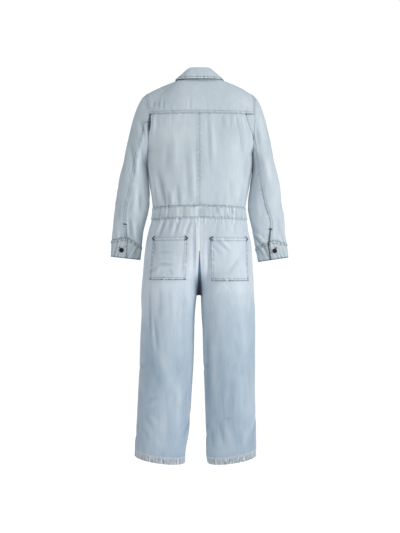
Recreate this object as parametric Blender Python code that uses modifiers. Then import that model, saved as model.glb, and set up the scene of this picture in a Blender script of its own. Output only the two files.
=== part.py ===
"""A long-sleeved denim jumpsuit, filled out as if worn: every cut piece is one thin wall of cloth.

Metres, +Z up, the front faces -Y and the back +Y, the wearer's left is +X.
The origin lies midway between the two sides of the neck, at the height where the shoulders carry it.
All surfaces below are the middle of the cloth, so a wall reaches half its thickness to each side.
"""

import math
from collections import namedtuple

import bpy
from mathutils import Vector

# ---------------------------------------------------------------- driving dimensions
WALL = 0.0016            # one layer of denim with its turned edges
BAND_WALL = 0.0026       # waistband and cuffs, several layers thick
PLEAT_WALL = 0.0012      # the pleats' under layer, without turned edges
SEAM = 0.0003            # gap between two pieces at a seam
TRIM = SEAM / 2.0        # what each piece gives up of that gap at a flat seam
BAND_TRIM = 0.0004       # the same where two walls meet at an angle: at the waistband's sides,
SLEEVE_TRIM = 0.0004     # along the sleeves,
SHOULDER_TRIM = 0.0005   # in front of the shoulders, on the yoke
CHEST_TRIM = 0.0006      # and on the front panels,
WAIST_TRIM = 0.0005      # under the waistband
INSEAM_TRIM = 0.0011     # and at the inseam, which turns sharply at the fork
LAID_ON = WALL + SEAM    # between the middles of two layers that lie on each other

FRONT_COLUMNS = 9        # of a front panel, across
NECK_COLUMNS = 3         # of those, how many end at the neckline
YOKE_COLUMNS = 24        # of the yoke, round the neck
YOKE_SEAM_SHARE = 14 / 24  # of those, the share along the yoke seam

YOKE_Z = -0.128          # yoke seam across the back
UNDERARM_Z = -0.262
BAND_TOP_Z = -0.4585
BAND_BOTTOM_Z = -0.5005
FORK_Z = -0.772          # where the four leg seams meet
HEM_Z = -1.376
HEM_TILT = 0.0125        # the hems rise towards the side seams by this much each way
HEM_DIP = 0.008          # and are this much lower at the middle of the back and front
NECK_STEP_Z = -0.118     # below this height the front panels have level rows

PLACKET_WIDTH = 0.034
FLY_END_Z = -0.655
BUTTON_RADIUS = 0.0085
BUTTON_HEIGHT = 0.0032
BUTTON_RIM = 0.3         # its rounding, as a share of the height
BUTTON_SIDES = 12
CUFF_HEIGHT = 0.059
CUFF_LAP = 0.020         # how far the cuff's ends overlap
CUFF_LAP_EASE = 60.0     # degrees over which the lapped end settles onto the wrist
CUFF_SEAM_TURN = 6.0     # degrees from the sleeve's back seam to the lapped edge
VENT_LENGTH = 0.058      # open end of the sleeve's back seam, above the cuff
VENT_GAPE = 0.0030       # how far it gapes at the cuff

ROUNDNESS = 2.3          # exponent of the torso's sections, 2 is an ellipse
BAND_PROUD = 0.0006      # the waistband stands this much outside the panels
SEAT_FILL = {"back": 0.014, "front": 0.009}  # keeps the seat full where it turns into the legs
CHEST_SWELL = 0.010      # the front panels' rise between the chest and the shoulder
CHEST_SWELL_WAY = (0.0, -0.8, 0.6)

LEFT, RIGHT = 1, -1
BACK, FRONT = 1, -1
SIDES = {"left": LEFT, "right": RIGHT}

# ---------------------------------------------------------------- sections of the torso and seat
Torso = namedtuple("Torso", "z left right back front")
TORSO = (
    Torso(-0.118, 0.1900, 0.1930, 0.1130, 0.1000),
    Torso(-0.128, 0.1900, 0.1930, 0.1150, 0.1030),
    Torso(-0.170, 0.1910, 0.1940, 0.1225, 0.1130),
    Torso(-0.210, 0.1915, 0.1945, 0.1270, 0.1200),
    Torso(-0.262, 0.1915, 0.1945, 0.1280, 0.1240),
    Torso(-0.300, 0.1895, 0.1930, 0.1250, 0.1230),
    Torso(-0.347, 0.1840, 0.1860, 0.1185, 0.1180),
    Torso(-0.380, 0.1790, 0.1800, 0.1130, 0.1130),
    Torso(-0.420, 0.1725, 0.1720, 0.1050, 0.1060),
    Torso(-0.459, 0.1690, 0.1660, 0.0980, 0.1010),
    Torso(-0.501, 0.1730, 0.1715, 0.1000, 0.1010),
    Torso(-0.540, 0.1835, 0.1755, 0.1120, 0.1050),
    Torso(-0.600, 0.1955, 0.1880, 0.1250, 0.1080),
    Torso(-0.660, 0.2030, 0.1920, 0.1290, 0.1080),
    Torso(-0.720, 0.2065, 0.1950, 0.1250, 0.1040),
    Torso(-0.772, 0.2110, 0.1970, 0.1180, 0.0980),
)

# ---------------------------------------------------------------- sections of the legs
Leg = namedtuple("Leg", "z outer_left inner_left inner_right outer_right back front")
LEGS = (
    Leg(-0.600, 0.1955, 0.0020, -0.0020, 0.1880, 0.1250, 0.1060),
    Leg(-0.772, 0.2110, 0.0060, -0.0020, 0.1970, 0.1120, 0.0960),
    Leg(-0.778, 0.2113, 0.0110, 0.0010, 0.1973, 0.1110, 0.0950),
    Leg(-0.790, 0.2115, 0.0155, 0.0035, 0.1985, 0.1085, 0.0930),
    Leg(-0.847, 0.2095, 0.0195, 0.0095, 0.2020, 0.0980, 0.0860),
    Leg(-0.905, 0.2125, 0.0205, 0.0130, 0.2025, 0.0900, 0.0800),
    Leg(-1.022, 0.2165, 0.0240, 0.0165, 0.2010, 0.0790, 0.0720),
    Leg(-1.139, 0.2225, 0.0310, 0.0205, 0.2010, 0.0710, 0.0650),
    Leg(-1.256, 0.2285, 0.0385, 0.0240, 0.2045, 0.0640, 0.0600),
    Leg(-1.343, 0.2350, 0.0520, 0.0245, 0.2065, 0.0590, 0.0560),
    Leg(-1.376, 0.2352, 0.0535, 0.0300, 0.2065, 0.0580, 0.0550),
)

LEG_ROWS = (
    HEM_Z, -1.30, -1.21, -1.12, -1.03, -0.94, -0.865, -0.81, -0.786, -0.7775, FORK_Z,
    -0.761, -0.745, -0.722, -0.695, -0.66, -0.625, -0.59, -0.555, -0.525, BAND_BOTTOM_Z,
)

# how far each height has turned from the seat's section (0) to the legs' own (1)
Rise = namedtuple("Rise", "z back front")
CROTCH = (
    Rise(-0.600, 0.00, 0.00),
    Rise(-0.640, 0.03, 0.01),
    Rise(-0.680, 0.12, 0.06),
    Rise(-0.720, 0.33, 0.22),
    Rise(-0.750, 0.62, 0.52),
    Rise(-0.772, 1.00, 1.00),
)

# ---------------------------------------------------------------- neckline and collar
# turn: 0 at the centre back, 1 at the centre front; x is mirrored to the other side
Ring = namedtuple("Ring", "turn x y z")
NECKLINE = (
    Ring(0.00, 0.0000, 0.0600, 0.0110),
    Ring(0.20, 0.0360, 0.0530, 0.0110),
    Ring(0.36, 0.0600, 0.0340, 0.0090),
    Ring(0.50, 0.0730, 0.0040, 0.0020),
    Ring(0.60, 0.0735, -0.0200, -0.0020),
    Ring(0.72, 0.0690, -0.0420, -0.0215),
    Ring(0.84, 0.0540, -0.0660, -0.0520),
    Ring(0.93, 0.0280, -0.0800, -0.0770),
    Ring(1.00, 0.0000, -0.0850, -0.0850),
)
SHOULDER_SEAM_TURN = 0.60      # the yoke ends on this turn, a little in front of the shoulder

COLLAR_FOLD = (
    Ring(0.00, 0.0000, 0.0560, 0.0405),
    Ring(0.20, 0.0290, 0.0520, 0.0405),
    Ring(0.36, 0.0520, 0.0360, 0.0290),
    Ring(0.50, 0.0700, 0.0060, 0.0140),
    Ring(0.60, 0.0735, -0.0190, 0.0080),
    Ring(0.72, 0.0700, -0.0430, -0.0080),
    Ring(0.84, 0.0560, -0.0680, -0.0410),
    Ring(0.93, 0.0310, -0.0840, -0.0680),
    Ring(1.00, 0.0060, -0.0900, -0.0780),
)
COLLAR_EDGE = (
    Ring(0.00, 0.0000, 0.0800, 0.0005),
    Ring(0.20, 0.0400, 0.0730, 0.0015),
    Ring(0.36, 0.0700, 0.0530, 0.0030),
    Ring(0.50, 0.0870, 0.0140, 0.0050),
    Ring(0.60, 0.0890, -0.0180, 0.0010),
    Ring(0.72, 0.0890, -0.0540, -0.0230),
    Ring(0.84, 0.0820, -0.0860, -0.0580),
    Ring(0.93, 0.0740, -0.1010, -0.0880),
    Ring(1.00, 0.0600, -0.1080, -0.1180),
)
COLLAR_FOLD_RADIUS = 0.0028
COLLAR_FOLD_START = 0.35       # shares of the collar's width where its fold begins
COLLAR_FOLD_END = 0.65         # and ends
COLLAR_ROLL = 0.002            # how far the fallen part bows outwards
COLLAR_SEAM_EASE = 0.0008      # the collar stands off the neckline by this much more in front
COLLAR_REACH = 0.985           # its ends stop short of the centre front

# height of the yoke's bow between the neck and its outer edge
Swell = namedtuple("Swell", "turn height")
YOKE_SWELL = (
    Swell(0.00, 0.0100),
    Swell(0.30, 0.0120),
    Swell(0.58, 0.0170),
    Swell(0.80, 0.0090),
    Swell(1.00, 0.0045),
)
YOKE_SWELL_FROM = (0.0, 0.010, -0.130)  # the bow leads away from this point inside the chest

# ---------------------------------------------------------------- armholes
# turn: 0 at the shoulder tip, then over the back, 0.5 at the underarm, up the front, 1 at the tip
ARMHOLE = (
    Ring(0.00, 0.1975, -0.0020, -0.0480),
    Ring(0.08, 0.1925, 0.0400, -0.0640),
    Ring(0.16, 0.1830, 0.0660, -0.0970),
    Ring(0.22, 0.1775, 0.0770, -0.1280),
    Ring(0.30, 0.1755, 0.0810, -0.1680),
    Ring(0.38, 0.1785, 0.0740, -0.2120),
    Ring(0.45, 0.1865, 0.0450, -0.2480),
    Ring(0.50, 0.1915, 0.0000, -0.2620),
    Ring(0.55, 0.1855, -0.0450, -0.2500),
    Ring(0.63, 0.1750, -0.0760, -0.2120),
    Ring(0.71, 0.1690, -0.0840, -0.1660),
    Ring(0.80, 0.1745, -0.0790, -0.1180),
    Ring(0.90, 0.1880, -0.0520, -0.0760),
    Ring(0.95, 0.1945, -0.0280, -0.0570),
    Ring(1.00, 0.1975, -0.0020, -0.0480),
)
ARMHOLE_YOKE_TURN = 0.22
ARMHOLE_SHOULDER_TURN = 0.95
ARMHOLE_STEP_TURN = 0.80       # where the front panels' level rows end
RIGHT_BLADE_EASE = 0.020       # the right armhole stands further out over the shoulder blade
RIGHT_UNDERARM_EASE = 0.003
RIGHT_TIP_EASE = 0.004         # and a little further in at the shoulder's tip

# ---------------------------------------------------------------- sleeves, by level along the arm
Arm = namedtuple("Arm", "z centre half_width half_depth forward lean seam")
SLEEVES = {
    "left": (
        Arm(-0.300, 0.2345, 0.0425, 0.0660, -0.002, 9.0, 98.0),
        Arm(-0.347, 0.2390, 0.0510, 0.0560, -0.003, 5.5, 90.0),
        Arm(-0.385, 0.2405, 0.0565, 0.0480, -0.004, 5.0, 84.0),
        Arm(-0.423, 0.2430, 0.0600, 0.0420, -0.006, 6.0, 78.0),
        Arm(-0.453, 0.2465, 0.0615, 0.0380, -0.008, 8.0, 74.0),
        Arm(-0.482, 0.2515, 0.0598, 0.0350, -0.009, 8.5, 74.0),
        Arm(-0.511, 0.2570, 0.0578, 0.0320, -0.010, 8.0, 78.0),
        Arm(-0.540, 0.2615, 0.0560, 0.0290, -0.011, 6.5, 84.0),
        Arm(-0.585, 0.2665, 0.0545, 0.0260, -0.012, 6.5, 90.0),
        Arm(-0.645, 0.2705, 0.0530, 0.0240, -0.013, 6.5, 90.0),
    ),
    "right": (
        Arm(-0.300, 0.2335, 0.0385, 0.0680, -0.002, 9.0, 112.0),
        Arm(-0.347, 0.2380, 0.0475, 0.0580, -0.003, 3.5, 100.0),
        Arm(-0.385, 0.2390, 0.0545, 0.0500, -0.004, 1.5, 90.0),
        Arm(-0.423, 0.2385, 0.0590, 0.0430, -0.006, 2.0, 82.0),
        Arm(-0.453, 0.2390, 0.0620, 0.0380, -0.008, 6.0, 79.0),
        Arm(-0.482, 0.2440, 0.0622, 0.0350, -0.009, 9.0, 78.0),
        Arm(-0.511, 0.2490, 0.0610, 0.0320, -0.010, 8.5, 78.0),
        Arm(-0.540, 0.2530, 0.0590, 0.0290, -0.011, 8.5, 84.0),
        Arm(-0.590, 0.2620, 0.0570, 0.0260, -0.012, 8.5, 98.0),
        Arm(-0.650, 0.2700, 0.0545, 0.0240, -0.013, 8.5, 104.0),
    ),
}
SLEEVE_UNDER_SEAM = 188.0      # the underarm seam, just in front of the arm's inner side
CAP_SHARE = 0.40               # share of the sleeve's rows above the arm's first level
CAP_TOP_REACH = 0.034          # how far the cloth runs straight on from the armhole
CAP_UNDERARM_REACH = 0.012
CAP_ARM_REACH = 0.50           # the same at the arm's first level, as a share of the span
CAP_ARM_EASE = 0.6             # of which the underarm keeps this much
CAP_TOP_OUT = 0.85             # at the shoulder's tip the cap leaves this far outwards
CAP_TOP_DOWN = 0.53            # for this far down,
CAP_UNDERARM_OUT = 0.10        # at the underarm nearly straight down
CAP_ROUND = 0.10               # and at the back and front a little out of the armhole
CAP_GAP = 0.0009               # the cap starts this far outside the armhole's edge
CAP_UNDERARM_GAP = 0.0022      # and this much further at the underarm

# ---------------------------------------------------------------- pleats by the armholes
Pleat = namedtuple("Pleat", "fold_x end_z depth")
PLEATS = {
    "left": Pleat(0.1700, -0.214, 0.0090),
    "right": Pleat(0.1715, -0.214, 0.0030),
}
PLEAT_UNDERLAP = 0.012         # how far the under layer reaches behind the fold
PLEAT_OPENING = 2.2            # how soon the fold leaves the armhole, going up
PLEAT_CLOSING = 0.008          # width at which the under layer starts to duck behind the fold

# ---------------------------------------------------------------- back pockets
Pocket = namedtuple("Pocket", "inner_top outer_top inner_bottom outer_bottom top_z bottom_z")
POCKETS = {
    "left": Pocket(0.0425, 0.1650, 0.0495, 0.1770, -0.5700, -0.7210),
    "right": Pocket(0.0385, 0.1690, 0.0435, 0.1740, -0.5720, -0.7250),
}

# ---------------------------------------------------------------- the largest folds
Fold = namedtuple("Fold", "name side face x z width length depth slant")
FOLDS = (
    Fold("back_blouse", LEFT, BACK, 0.105, -0.400, 0.020, 0.060, 0.0060, 0.25),
    Fold("back_blouse", LEFT, BACK, 0.045, -0.330, 0.018, 0.110, -0.0040, 0.05),
    Fold("back_blouse", RIGHT, BACK, 0.080, -0.300, 0.020, 0.120, -0.0040, 0.05),
    Fold("seat_gather", LEFT, BACK, 0.120, -0.535, 0.016, 0.045, 0.0040, -0.30),
    Fold("front_blouse", LEFT, FRONT, 0.080, -0.390, 0.020, 0.070, 0.0050, -0.20),
    Fold("front_blouse", RIGHT, FRONT, 0.095, -0.385, 0.020, 0.070, 0.0050, 0.20),
)

# ---------------------------------------------------------------- buttons of the front
FRONT_BUTTONS = (-0.112, -0.192, -0.272, -0.352, -0.430, -0.480, -0.545, -0.612)
BAND_BUTTON = 5                # which of them sits on the waistband
BAND_BUTTON_X = 0.014          # beside the waistband's meeting ends
PLACKET_TOP_Z = -0.094
PLACKET_LIFT = 0.0004          # the strips and pockets lie this much looser than a seam
POCKET_LIFT = 0.0011
CUFF_BUTTON_BACK = 0.020       # from the cuff's lapped edge to its button

# ---------------------------------------------------------------- colours of the photographed cloth
Finish = namedtuple("Finish", "name color roughness metallic")
DENIM = Finish("washed_denim", (0.49, 0.58, 0.65, 1.0), 0.85, 0.0)
LEG_DENIM = Finish("washed_denim_legs", (0.45, 0.55, 0.64, 1.0), 0.85, 0.0)
BUTTON_METAL = Finish("dark_button_metal", (0.06, 0.045, 0.04, 1.0), 0.4, 0.8)


# ---------------------------------------------------------------- grids of the pieces
BACK_GRID = (8, 10)
PLEAT_GRID = (3, 5)
FRONT_ROWS = 14                # of a front panel
FRONT_LEVEL_ROWS = 10          # of those, how many are level
YOKE_ROWS = 5
COLLAR_GRID = (28, 7)
BAND_GRID = (8, 2)             # of a half waistband
PLACKET_ROWS = 12
FLY_ROWS = 5
SLEEVE_OUTER_GRID = (15, 16)
SLEEVE_INNER_GRID = (6, 16)
CUFF_GRID = (30, 1)
LEG_COLUMNS = 8
POCKET_GRID = (7, 6)
HALVINGS = 26                  # steps when a place on a curve is looked for


# ---------------------------------------------------------------- reading the tables
def slopes(xs, ys):
    """Slopes of a smooth curve through the points that never overshoots them."""
    steps = [(ys[i + 1] - ys[i]) / (xs[i + 1] - xs[i]) for i in range(len(xs) - 1)]
    inner = []
    for before, after in zip(steps, steps[1:]):
        inner.append(0.0 if before * after <= 0.0 else 2.0 * before * after / (before + after))
    return [steps[0]] + inner + [steps[-1]]


def read(table, at, column):
    """Value of one column, read smoothly where the table's first column equals at."""
    rows = sorted(table, key=lambda row: row[0])
    xs = [row[0] for row in rows]
    ys = [getattr(row, column) for row in rows]
    at = min(max(at, xs[0]), xs[-1])
    tangents = slopes(xs, ys)
    i = max(k for k in range(len(xs) - 1) if xs[k] <= at)
    span = xs[i + 1] - xs[i]
    f = (at - xs[i]) / span
    return (
        ys[i] * (1 + 2 * f) * (1 - f) ** 2
        + tangents[i] * span * f * (1 - f) ** 2
        + ys[i + 1] * f * f * (3 - 2 * f)
        + tangents[i + 1] * span * f * f * (f - 1)
    )


def ring_point(table, turn, side):
    """Point of a mirrored ring table at a turn, on one side of the garment."""
    x = read(table, turn, "x")
    return Vector((side * x, read(table, turn, "y"), read(table, turn, "z")))


def mix(a, b, f):
    return a + (b - a) * f


def toward_side(u):
    """Spaces columns closer where a half section turns into the side seam."""
    return 0.35 * u + 0.65 * (1.0 - (1.0 - u) ** 2)


def toward_ends(u):
    """Spaces columns closer at both seams."""
    return (1.0 - math.cos(math.pi * u)) / 2.0


def side_name(side):
    return "left" if side == LEFT else "right"


# ---------------------------------------------------------------- surfaces
def armhole_point(side, turn):
    """Point of the armhole's edge; the right one is eased outwards over the shoulder blade."""
    point = ring_point(ARMHOLE, turn, side)
    if side == RIGHT:
        blade = math.sin(2.0 * math.pi * turn) if turn < 0.5 else 0.0
        under = math.sin(math.pi * turn) ** 4
        tip = math.cos(math.pi * turn) ** 8
        point.x -= RIGHT_BLADE_EASE * blade + RIGHT_UNDERARM_EASE * under - RIGHT_TIP_EASE * tip
    return point


def armhole_at_height(side, face, z):
    """Point of the armhole's back or front edge at a height, found by halving."""
    low, high = (ARMHOLE_YOKE_TURN, 0.5) if face == BACK else (ARMHOLE_STEP_TURN, 0.5)
    for _ in range(HALVINGS):
        middle = (low + high) / 2.0
        if armhole_point(side, middle).z > z:
            low = middle
        else:
            high = middle
    return armhole_point(side, (low + high) / 2.0)


def torso_end(side, face, z):
    """Where a level row of the torso ends: at the side seam, or at the armhole above it."""
    if z > UNDERARM_Z:
        edge = armhole_at_height(side, face, z)
        return abs(edge.x), abs(edge.y)
    return read(TORSO, z, side_name(side)), 0.0


def fold_lift(side, face, point):
    """How far the largest folds lift the cloth at a point."""
    lift = 0.0
    for fold in FOLDS:
        if fold.side == side and fold.face == face:
            along = point.z - fold.z
            across = abs(point.x) - fold.x - fold.slant * along
            lift += fold.depth * math.exp(-((across / fold.width) ** 2) - (along / fold.length) ** 2)
    return lift


def torso_point(side, face, s, z, proud=0.0):
    """Point of the torso at a height: s runs from the centre line (0) to the side (1)."""
    depth = read(TORSO, z, "back" if face == BACK else "front") + proud
    end_x, end_y = torso_end(side, face, z)
    end_x += proud
    width = end_x / (1.0 - min(end_y / depth, 0.95) ** ROUNDNESS) ** (1.0 / ROUNDNESS)
    last = math.asin(min(1.0, (end_x / width) ** (ROUNDNESS / 2.0)))
    power = 2.0 / ROUNDNESS
    x = width * math.sin(last * s) ** power
    y = depth * max(0.0, math.cos(last * s)) ** power
    point = Vector((side * x, face * y, z))
    point.y += face * fold_lift(side, face, point)
    return point


def trouser_point(side, face, s, z):
    """Point of the trousers: s runs from the seat seam or inseam (0) to the side seam (1)."""
    name = side_name(side)
    outer = read(LEGS, z, "outer_" + name)
    inner = read(LEGS, z, "inner_" + name)
    depth = read(LEGS, z, "back" if face == BACK else "front")
    x = (outer + inner) / 2.0 - (outer - inner) / 2.0 * math.cos(math.pi * s)
    leg = Vector((side * x, face * depth * math.sin(math.pi * s), z))
    if z <= FORK_Z:
        down = min(1.0, max(0.0, (z + 1.0) / (HEM_Z + 1.0)))
        leg.z -= down * (HEM_TILT * math.cos(math.pi * s) + HEM_DIP * math.sin(math.pi * s))
        return leg
    label = "back" if face == BACK else "front"
    turned = read(CROTCH, z, label)
    point = torso_point(side, face, s, z).lerp(leg, turned)
    point.y += face * SEAT_FILL[label] * 4.0 * turned * (1.0 - turned) * math.sin(math.pi * s)
    return point


def front_upper_point(side, s, t):
    """Front panel above its level rows, blended between its four edges; t runs up."""
    corner = toward_side(NECK_COLUMNS / FRONT_COLUMNS)
    bottom = torso_point(side, FRONT, s, NECK_STEP_Z)
    if s < corner:
        top = ring_point(NECKLINE, mix(1.0, SHOULDER_SEAM_TURN, s / corner), side)
    else:
        top = shoulder_seam_point(side, (s - corner) / (1.0 - corner))
    centre_low = torso_point(side, FRONT, 0.0, NECK_STEP_Z)
    centre_top = ring_point(NECKLINE, 1.0, side)
    centre = centre_low.lerp(centre_top, t)
    turn = mix(ARMHOLE_STEP_TURN, ARMHOLE_SHOULDER_TURN, t)
    edge = armhole_point(side, turn)
    edge_low = armhole_point(side, ARMHOLE_STEP_TURN)
    edge_top = armhole_point(side, ARMHOLE_SHOULDER_TURN)
    ruled = bottom.lerp(top, t) + centre.lerp(edge, s)
    corners = centre_low.lerp(centre_top, t).lerp(edge_low.lerp(edge_top, t), s)
    swell = CHEST_SWELL * math.sin(math.pi * t) * math.sin(math.pi * s)
    return ruled - corners + Vector(CHEST_SWELL_WAY) * swell


def shoulder_seam_point(side, f):
    """The seam in front of the shoulder, from the neck (0) to the armhole (1)."""
    return yoke_point(float(side), f)


def yoke_point(turn, r):
    """Yoke round the back of the neck: turn -1 to 1 between its ends, r 0 at the neck, 1 outside."""
    side = LEFT if turn >= 0.0 else RIGHT
    a = abs(turn)
    corner = YOKE_SEAM_SHARE
    start = ring_point(NECKLINE, SHOULDER_SEAM_TURN * a, side)
    if a <= corner:
        end = torso_point(side, BACK, a / corner, YOKE_Z)
    else:
        over = mix(ARMHOLE_YOKE_TURN, ARMHOLE_SHOULDER_TURN - 1.0, (a - corner) / (1.0 - corner))
        end = armhole_point(side, over if over >= 0.0 else over + 1.0)
    ray = end - start
    middle = (start + end) / 2.0
    away = middle - Vector(YOKE_SWELL_FROM)
    away -= ray * (away.dot(ray) / ray.length_squared)
    away.normalize()
    swell = read(YOKE_SWELL, a, "height")
    return start + ray * r + away * swell * math.sin(math.pi * r)


def collar_point(turn, r):
    """Collar: r climbs from the neck seam (0) over the fold (0.5) down to the outer edge (1)."""
    side = LEFT if turn >= 0.0 else RIGHT
    a = abs(turn)
    seam = ring_point(NECKLINE, a, side)
    fold = ring_point(COLLAR_FOLD, a, side)
    edge = ring_point(COLLAR_EDGE, a, side)
    ahead, behind = min(a + 0.02, 1.0), max(a - 0.02, 0.0)
    along = ring_point(COLLAR_FOLD, ahead, side) - ring_point(COLLAR_FOLD, behind, side)
    along.normalize()
    climb = (fold - seam) - along * (fold - seam).dot(along)
    fall = (edge - fold) - along * (edge - fold).dot(along)
    seam += climb.normalized() * (LAID_ON + COLLAR_SEAM_EASE * a)
    rise = (climb.normalized() - fall.normalized()).normalized()
    out = along.cross(rise).normalized()
    if out.dot(edge - seam) < 0.0:
        out.negate()
    inside = fold - out * COLLAR_FOLD_RADIUS
    outside = fold + out * COLLAR_FOLD_RADIUS
    if r <= COLLAR_FOLD_START:
        return seam.lerp(inside, r / COLLAR_FOLD_START)
    if r >= COLLAR_FOLD_END:
        f = (r - COLLAR_FOLD_END) / (1.0 - COLLAR_FOLD_END)
        return outside.lerp(edge, f) + out * COLLAR_ROLL * math.sin(math.pi * f)
    bend = math.pi * (r - COLLAR_FOLD_START) / (COLLAR_FOLD_END - COLLAR_FOLD_START)
    return fold + (rise * math.sin(bend) - out * math.cos(bend)) * COLLAR_FOLD_RADIUS


def sleeve_ring(name, degrees, z):
    """Point round the arm: 0 outer side, 90 back, 180 beside the body, 270 front."""
    table = SLEEVES[name]
    side = SIDES[name]
    angle = math.radians(degrees)
    lean = math.radians(read(table, z, "lean"))
    across = read(table, z, "half_width") * math.cos(angle)
    x = side * (read(table, z, "centre") + across * math.cos(lean))
    y = read(table, z, "forward") + read(table, z, "half_depth") * math.sin(angle)
    return Vector((x, y, z + across * math.sin(lean)))


def sleeve_point(name, degrees, t):
    """Sleeve from the armhole (t 0) over the cap (CAP_SHARE) to the cuff (t 1)."""
    table = SLEEVES[name]
    side = SIDES[name]
    first_z = table[0].z
    if t >= CAP_SHARE:
        down = (t - CAP_SHARE) / (1.0 - CAP_SHARE)
        return sleeve_ring(name, degrees, mix(first_z, table[-2].z, down))
    turn = (degrees / 360.0) % 1.0
    under = (1.0 - math.cos(2.0 * math.pi * turn)) / 2.0
    start = armhole_point(side, turn)
    start.x += side * (CAP_GAP + CAP_UNDERARM_GAP * under ** 3)
    end = sleeve_ring(name, degrees, first_z)
    lean = math.radians(table[0].lean)
    down = Vector((side * math.sin(lean), 0.0, -math.cos(lean)))
    out = side * mix(CAP_TOP_OUT, CAP_UNDERARM_OUT, under)
    leave = Vector((out, CAP_ROUND * math.sin(2.0 * math.pi * turn), -mix(CAP_TOP_DOWN, 1.0, under)))
    leave.normalize()
    span = (end - start).length
    reach = mix(CAP_TOP_REACH, CAP_UNDERARM_REACH, under)
    f = t / CAP_SHARE
    first = start + leave * reach
    second = end - down * span * CAP_ARM_REACH * mix(1.0, CAP_ARM_EASE, under)
    return (
        start * (1 - f) ** 3
        + first * 3 * f * (1 - f) ** 2
        + second * 3 * f * f * (1 - f)
        + end * f ** 3
    )


def moved_out(surface, u, v, distance):
    """Point of a surface moved along its outward normal, away from the garment's inside."""
    step = 0.01
    across = surface(min(u + step, 1.0), v) - surface(max(u - step, 0.0), v)
    along = surface(u, min(v + step, 1.0)) - surface(u, max(v - step, 0.0))
    normal = across.cross(along).normalized()
    point = surface(u, v)
    if normal.y * point.y < 0.0:
        normal.negate()
    return point + normal * distance


# ---------------------------------------------------------------- making the pieces
def material(finish):
    found = bpy.data.materials.get(finish.name)
    if found:
        return found
    made = bpy.data.materials.new(finish.name)
    made.use_nodes = True
    shader = made.node_tree.nodes["Principled BSDF"]
    shader.inputs["Base Color"].default_value = finish.color
    shader.inputs["Roughness"].default_value = finish.roughness
    shader.inputs["Metallic"].default_value = finish.metallic
    made.diffuse_color = finish.color
    return made


def trim_edge(mesh, edge, inner, distance):
    """Moves a row of edge points inwards, square to the seam they lie on."""
    points = [mesh.vertices[index].co.copy() for index in edge]
    for i, index in enumerate(edge):
        along = (points[min(i + 1, len(edge) - 1)] - points[max(i - 1, 0)]).normalized()
        step = mesh.vertices[inner[i]].co - points[i]
        step -= along * step.dot(along)
        mesh.vertices[index].co += step.normalized() * distance


def panel(name, grid, surface, finish, wall=WALL, trims=(TRIM, TRIM, TRIM, TRIM)):
    """One piece of cloth: a grid laid on surface(u, v), trimmed at its four edges, given its wall.

    grid is its columns and rows, trims are what the edges u=0, u=1, v=0 and v=1 give up.
    """
    columns, rows = grid
    bpy.ops.mesh.primitive_grid_add(x_subdivisions=columns, y_subdivisions=rows, size=2.0)
    piece = bpy.context.object
    piece.name = name
    mesh = piece.data
    mesh.name = name
    place = {}
    for vertex in mesh.vertices:
        column = round((vertex.co.x + 1.0) / 2.0 * columns)
        row = round((vertex.co.y + 1.0) / 2.0 * rows)
        place[column, row] = vertex.index
        vertex.co = surface(column / columns, row / rows)
    for column, inner, trim in ((0, 1, trims[0]), (columns, columns - 1, trims[1])):
        edge = [place[column, row] for row in range(rows + 1)]
        trim_edge(mesh, edge, [place[inner, row] for row in range(rows + 1)], trim)
    for row, inner, trim in ((0, 1, trims[2]), (rows, rows - 1, trims[3])):
        edge = [place[column, row] for column in range(columns + 1)]
        trim_edge(mesh, edge, [place[column, inner] for column in range(columns + 1)], trim)
    mesh.materials.append(material(finish))
    mesh.shade_smooth()
    thick = piece.modifiers.new("Cloth", "SOLIDIFY")
    thick.thickness = wall
    thick.offset = 0.0
    thick.use_even_offset = True
    return piece


def button(name, point, normal):
    """A shank button: a low drum with a rounded rim, its back just off the cloth."""
    bpy.ops.mesh.primitive_cylinder_add(vertices=BUTTON_SIDES, radius=BUTTON_RADIUS, depth=BUTTON_HEIGHT)
    piece = bpy.context.object
    piece.name = name
    piece.data.name = name
    rim = piece.modifiers.new("Rim", "BEVEL")
    rim.width = BUTTON_HEIGHT * BUTTON_RIM
    rim.segments = 1
    rim.limit_method = "ANGLE"
    piece.data.materials.append(material(BUTTON_METAL))
    piece.data.shade_smooth()
    piece.rotation_euler = normal.to_track_quat("Z", "Y").to_euler()
    piece.location = point + normal * (SEAM + BUTTON_HEIGHT / 2.0)
    return piece


# ---------------------------------------------------------------- bodice
def back_fold_s(name, z):
    """Where the back panel's edge lies at a height: on the pleat's fold, or at the side."""
    pleat = PLEATS[name]
    if z <= pleat.end_z:
        return 1.0
    side = SIDES[name]
    low, high = 0.5, 1.0
    for _ in range(HALVINGS):
        middle = (low + high) / 2.0
        if abs(torso_point(side, BACK, middle, z).x) < pleat.fold_x:
            low = middle
        else:
            high = middle
    open_share = min(1.0, (z - pleat.end_z) / (YOKE_Z - pleat.end_z) * PLEAT_OPENING)
    return mix(1.0, (low + high) / 2.0, open_share)


def back_body(name):
    side = SIDES[name]

    def surface(u, v):
        z = mix(BAND_TOP_Z, YOKE_Z, v)
        return torso_point(side, BACK, toward_side(u) * back_fold_s(name, z), z)

    return panel("back_body_" + name, BACK_GRID, surface, DENIM)


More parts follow.
